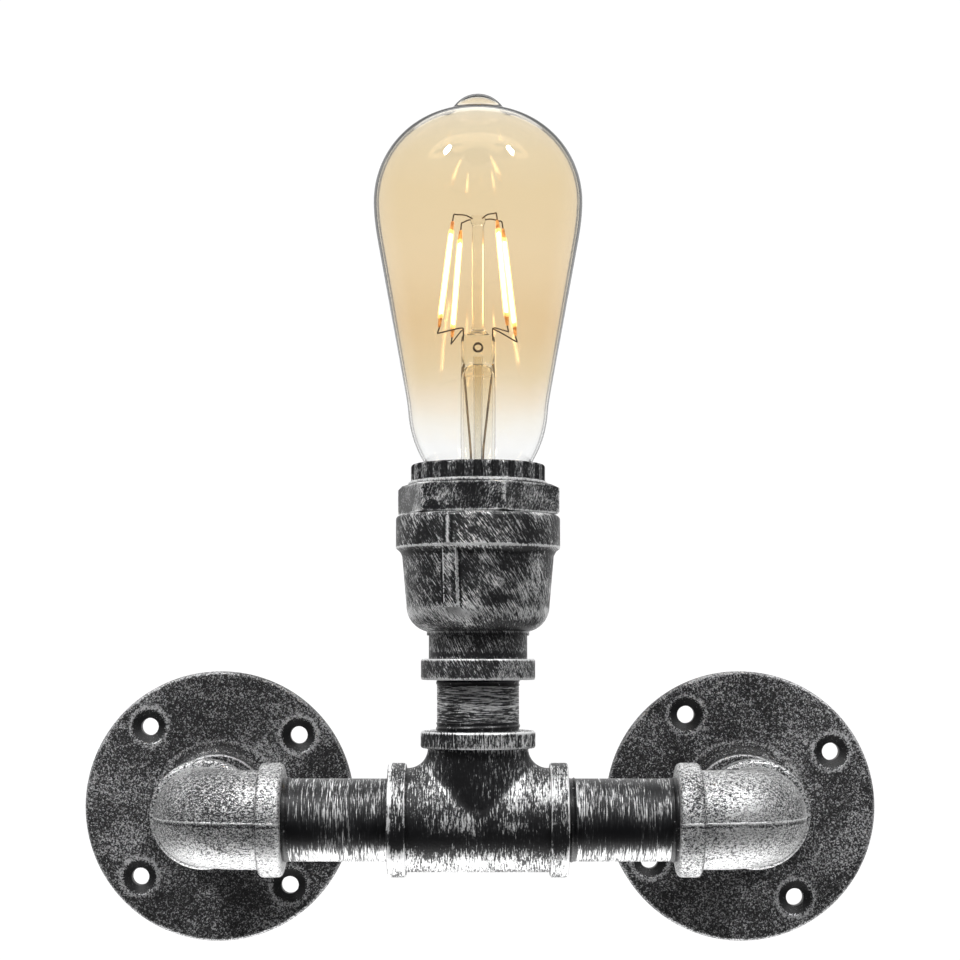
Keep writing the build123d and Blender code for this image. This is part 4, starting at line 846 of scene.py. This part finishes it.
leads = {
    "thick": 0.36,
    "left": [(-3.9, -0.3, 138.6), (-3.9, -0.2, 134.0), (-3.2, 0.0, 124.0), (-2.2, 0.1, 111.0),
             (-1.7, 0.0, 95.2)],
    "right": [(4.0, 0.3, 138.6), (3.8, 0.2, 133.0), (2.6, 0.0, 122.0), (1.5, -0.1, 110.0), (1.7, 0.0, 95.2)],
}
leadGrids = [wireAlong(smoothLine(leads[side]) + lampCentre, leads["thick"]) for side in ("left", "right")]
gridPiece("leadWireSet", leadGrids, "bulb", finishes["leadWire"], ["lead_wires"])
print("filaments and wires made")


# Screw cap of the bulb and the shell that takes it: radius = mean + depth cos(2 pi z / pitch - t), faded out
# at both ends, with plain rows of (radius, height) below and above. The two threads pass each other freely,
# because the bulb lifts straight up.
screwThread = {
    "pitch": 3.6, "wall": 0.35, "fade": 1.6, "rows": 90,
    "cap": {"mean": 12.78, "depth": 0.3, "firstZ": 84.9, "lastZ": 99.6,
            "below": [(9.8, 82.6), (10.2, 82.8), (11.2, 83.5), (12.3, 84.3)],
            "above": [(12.9, 100.1), (13.35, 100.5), (13.5, 101.0), (13.45, 101.5)]},
    "shell": {"mean": 13.5, "depth": 0.1, "firstZ": 82.3, "lastZ": 97.2,
              "below": [(13.78, 81.2), (13.78, 81.8)], "above": [(13.78, 98.0), (13.78, 98.5)]},
}


def threadedWall(look, steps=96):
    z = np.linspace(look["firstZ"], look["lastZ"], screwThread["rows"])[:, None]
    fade = np.clip(np.minimum(z - z[0], z[-1] - z) / screwThread["fade"], 0, 1)
    angle = np.linspace(0, 2 * np.pi, steps + 1)
    wave = np.cos(2 * np.pi * z / screwThread["pitch"] - angle)
    around = lambda column: np.repeat(column, steps + 1, axis=1)
    below, above = np.array(look["below"]), np.array(look["above"])
    threaded = look["mean"] + look["depth"] * fade * wave
    outR = np.concatenate([around(below[:, :1]), threaded, around(above[:, :1])])
    outZ = around(np.concatenate([below[:, 1:], z, above[:, 1:]]))
    allR = np.concatenate([outR, outR[::-1] - screwThread["wall"], outR[:1]])
    allZ = np.concatenate([outZ, outZ[::-1], outZ[:1]])
    return onAxis("Z", allR * np.cos(angle), allR * np.sin(angle), allZ, lampCentre)


gridPiece("screwCap", [threadedWall(screwThread["cap"])], "bulb", finishes["nickelCap"],
          ["bulb_cap"], sharpAngle=60)
gridPiece("threadedShell", [threadedWall(screwThread["shell"])], "fitting",
          finishes["stampedBrass"], ["screw_shell"], sharpAngle=60)
print("screw cap and shell made")


sweepLook = {"floorZ": -0.62, "backY": 1.6, "frontY": -0.35, "height": 1.0, "bend": 0.35, "halfWidth": 0.85,
             "paper": (0.06, 0.06, 0.06, 1), "rough": 0.9, "glow": 1.0}


# A floor that curves up into a backdrop: straight, then a quarter circle, then straight.
def sweepGrid(look):
    bendY, bendZ = look["backY"] - look["bend"], look["floorZ"] + look["bend"]
    floor = np.linspace([look["frontY"], look["floorZ"]], [bendY, look["floorZ"]], 12)
    turn = np.linspace(0, np.pi / 2, 16)
    bend = np.stack([bendY + look["bend"] * np.sin(turn), bendZ - look["bend"] * np.cos(turn)], -1)
    wall = np.linspace(bend[-1], [look["backY"], look["height"]], 8)
    line = np.concatenate([floor, bend[1:], wall[1:]])
    across = np.linspace(-look["halfWidth"], look["halfWidth"], 9)
    grid = np.empty((len(line), len(across), 3))
    grid[..., 0], grid[..., 1], grid[..., 2] = across, line[:, :1], line[:, 1:]
    return grid


def palePaper(look):
    material = bpy.data.materials.new("palePaper")
    material.use_nodes = True
    shader = material.node_tree.nodes["Principled BSDF"]
    shader.inputs["Base Color"].default_value = look["paper"]
    shader.inputs["Roughness"].default_value = look["rough"]
    shader.inputs["Emission Color"].default_value = (1, 1, 1, 1)
    shader.inputs["Emission Strength"].default_value = look["glow"]
    return material


def stagePiece(name, grid, material):
    mesh = bpy.data.meshes.new(name)
    index = np.arange(grid[..., 0].size).reshape(grid.shape[:2])
    quads = np.stack([index[:-1, :-1], index[:-1, 1:], index[1:, 1:], index[1:, :-1]], -1).reshape(-1, 4)
    mesh.from_pydata(grid.reshape(-1, 3).tolist(), [], quads.tolist())
    mesh.shade_smooth()
    mesh.materials.append(material)
    piece = bpy.data.objects.new(name, mesh)
    bpy.context.scene.collection.objects.link(piece)


stagePiece("studioSweep", sweepGrid(sweepLook), palePaper(sweepLook))


def softLight(name, place, aim, size, power):
    data = bpy.data.lights.new(name, "AREA")
    data.shape = "ELLIPSE"
    data.size, data.size_y = size
    data.energy = power
    lamp = bpy.data.objects.new(name, data)
    lamp.location = place
    lamp.rotation_euler = (Vector(aim) - Vector(place)).to_track_quat("-Z", "Y").to_euler()
    bpy.context.scene.collection.objects.link(lamp)


lights = [                                             # name, place, aim, size, watts
    ("topLight", (0.0, 0.9, 1.2), (0, -0.06, 0.05), (1.2, 0.5), 1.2),
    ("leftLight", (-0.62, -0.72, 1.2), (0, -0.06, 0.06), (0.13, 0.3), 13.0),
    ("rightLight", (0.66, -0.72, 1.2), (0, -0.06, 0.06), (0.13, 0.3), 11.0),
    ("underLight", (0.0, 0.1, -0.52), (0, -0.06, 0.0), (1.3, 0.5), 2.8),
]
for light in lights:
    softLight(*light)

# Surroundings: white to the eye, also through glass. Reflections find them light behind the lamp, dim in
# front, lighter overhead and dark below.
surroundings = {
    "white": (1, 1, 1, 1), "below": (0.02, 0.02, 0.02, 1), "overhead": (0.42, 0.42, 0.425, 1),
    "behind": (0.62, 0.62, 0.62, 1), "rise": (-0.3, 0.7), "turn": (0.0, 0.5), "strength": 1.0,
}
world = bpy.data.worlds.new("studioWorld")
world.use_nodes = True
bpy.context.scene.world = world
sky = world.node_tree
rays = makeNode(sky, "ShaderNodeLightPath").outputs
seen = calc(sky, "MAXIMUM", rays["Is Camera Ray"], rays["Is Transmission Ray"])
direction = makeNode(sky, "ShaderNodeTexCoord").outputs["Generated"]
upwards = ramp(sky, coordinate(sky, direction, 2), *surroundings["rise"])
backwards = ramp(sky, coordinate(sky, direction, 1), *surroundings["turn"])
dimmed = blendColour(sky, upwards, surroundings["below"], surroundings["overhead"])
dimmed = blendColour(sky, backwards, dimmed, surroundings["behind"])
background = sky.nodes["Background"].inputs
sky.links.new(blendColour(sky, seen, dimmed, surroundings["white"]), background["Color"])
background["Strength"].default_value = surroundings["strength"]

view = {"place": (0.0, -0.682, 0.050), "lens": 76.3, "sensor": 36, "pitch": 2.6, "shiftY": 0.0859,
        "clip": (0.01, 20)}
cameraData = bpy.data.cameras.new("photoCamera")
cameraData.lens = view["lens"]
cameraData.sensor_width = view["sensor"]
cameraData.shift_y = view["shiftY"]
cameraData.clip_start, cameraData.clip_end = view["clip"]
camera = bpy.data.objects.new("photoCamera", cameraData)
camera.location = view["place"]
camera.rotation_euler = (math.radians(90 + view["pitch"]), 0, 0)
bpy.context.scene.collection.objects.link(camera)
bpy.context.scene.camera = camera
bpy.context.scene.view_settings.view_transform = "Standard"
print("studio ready")
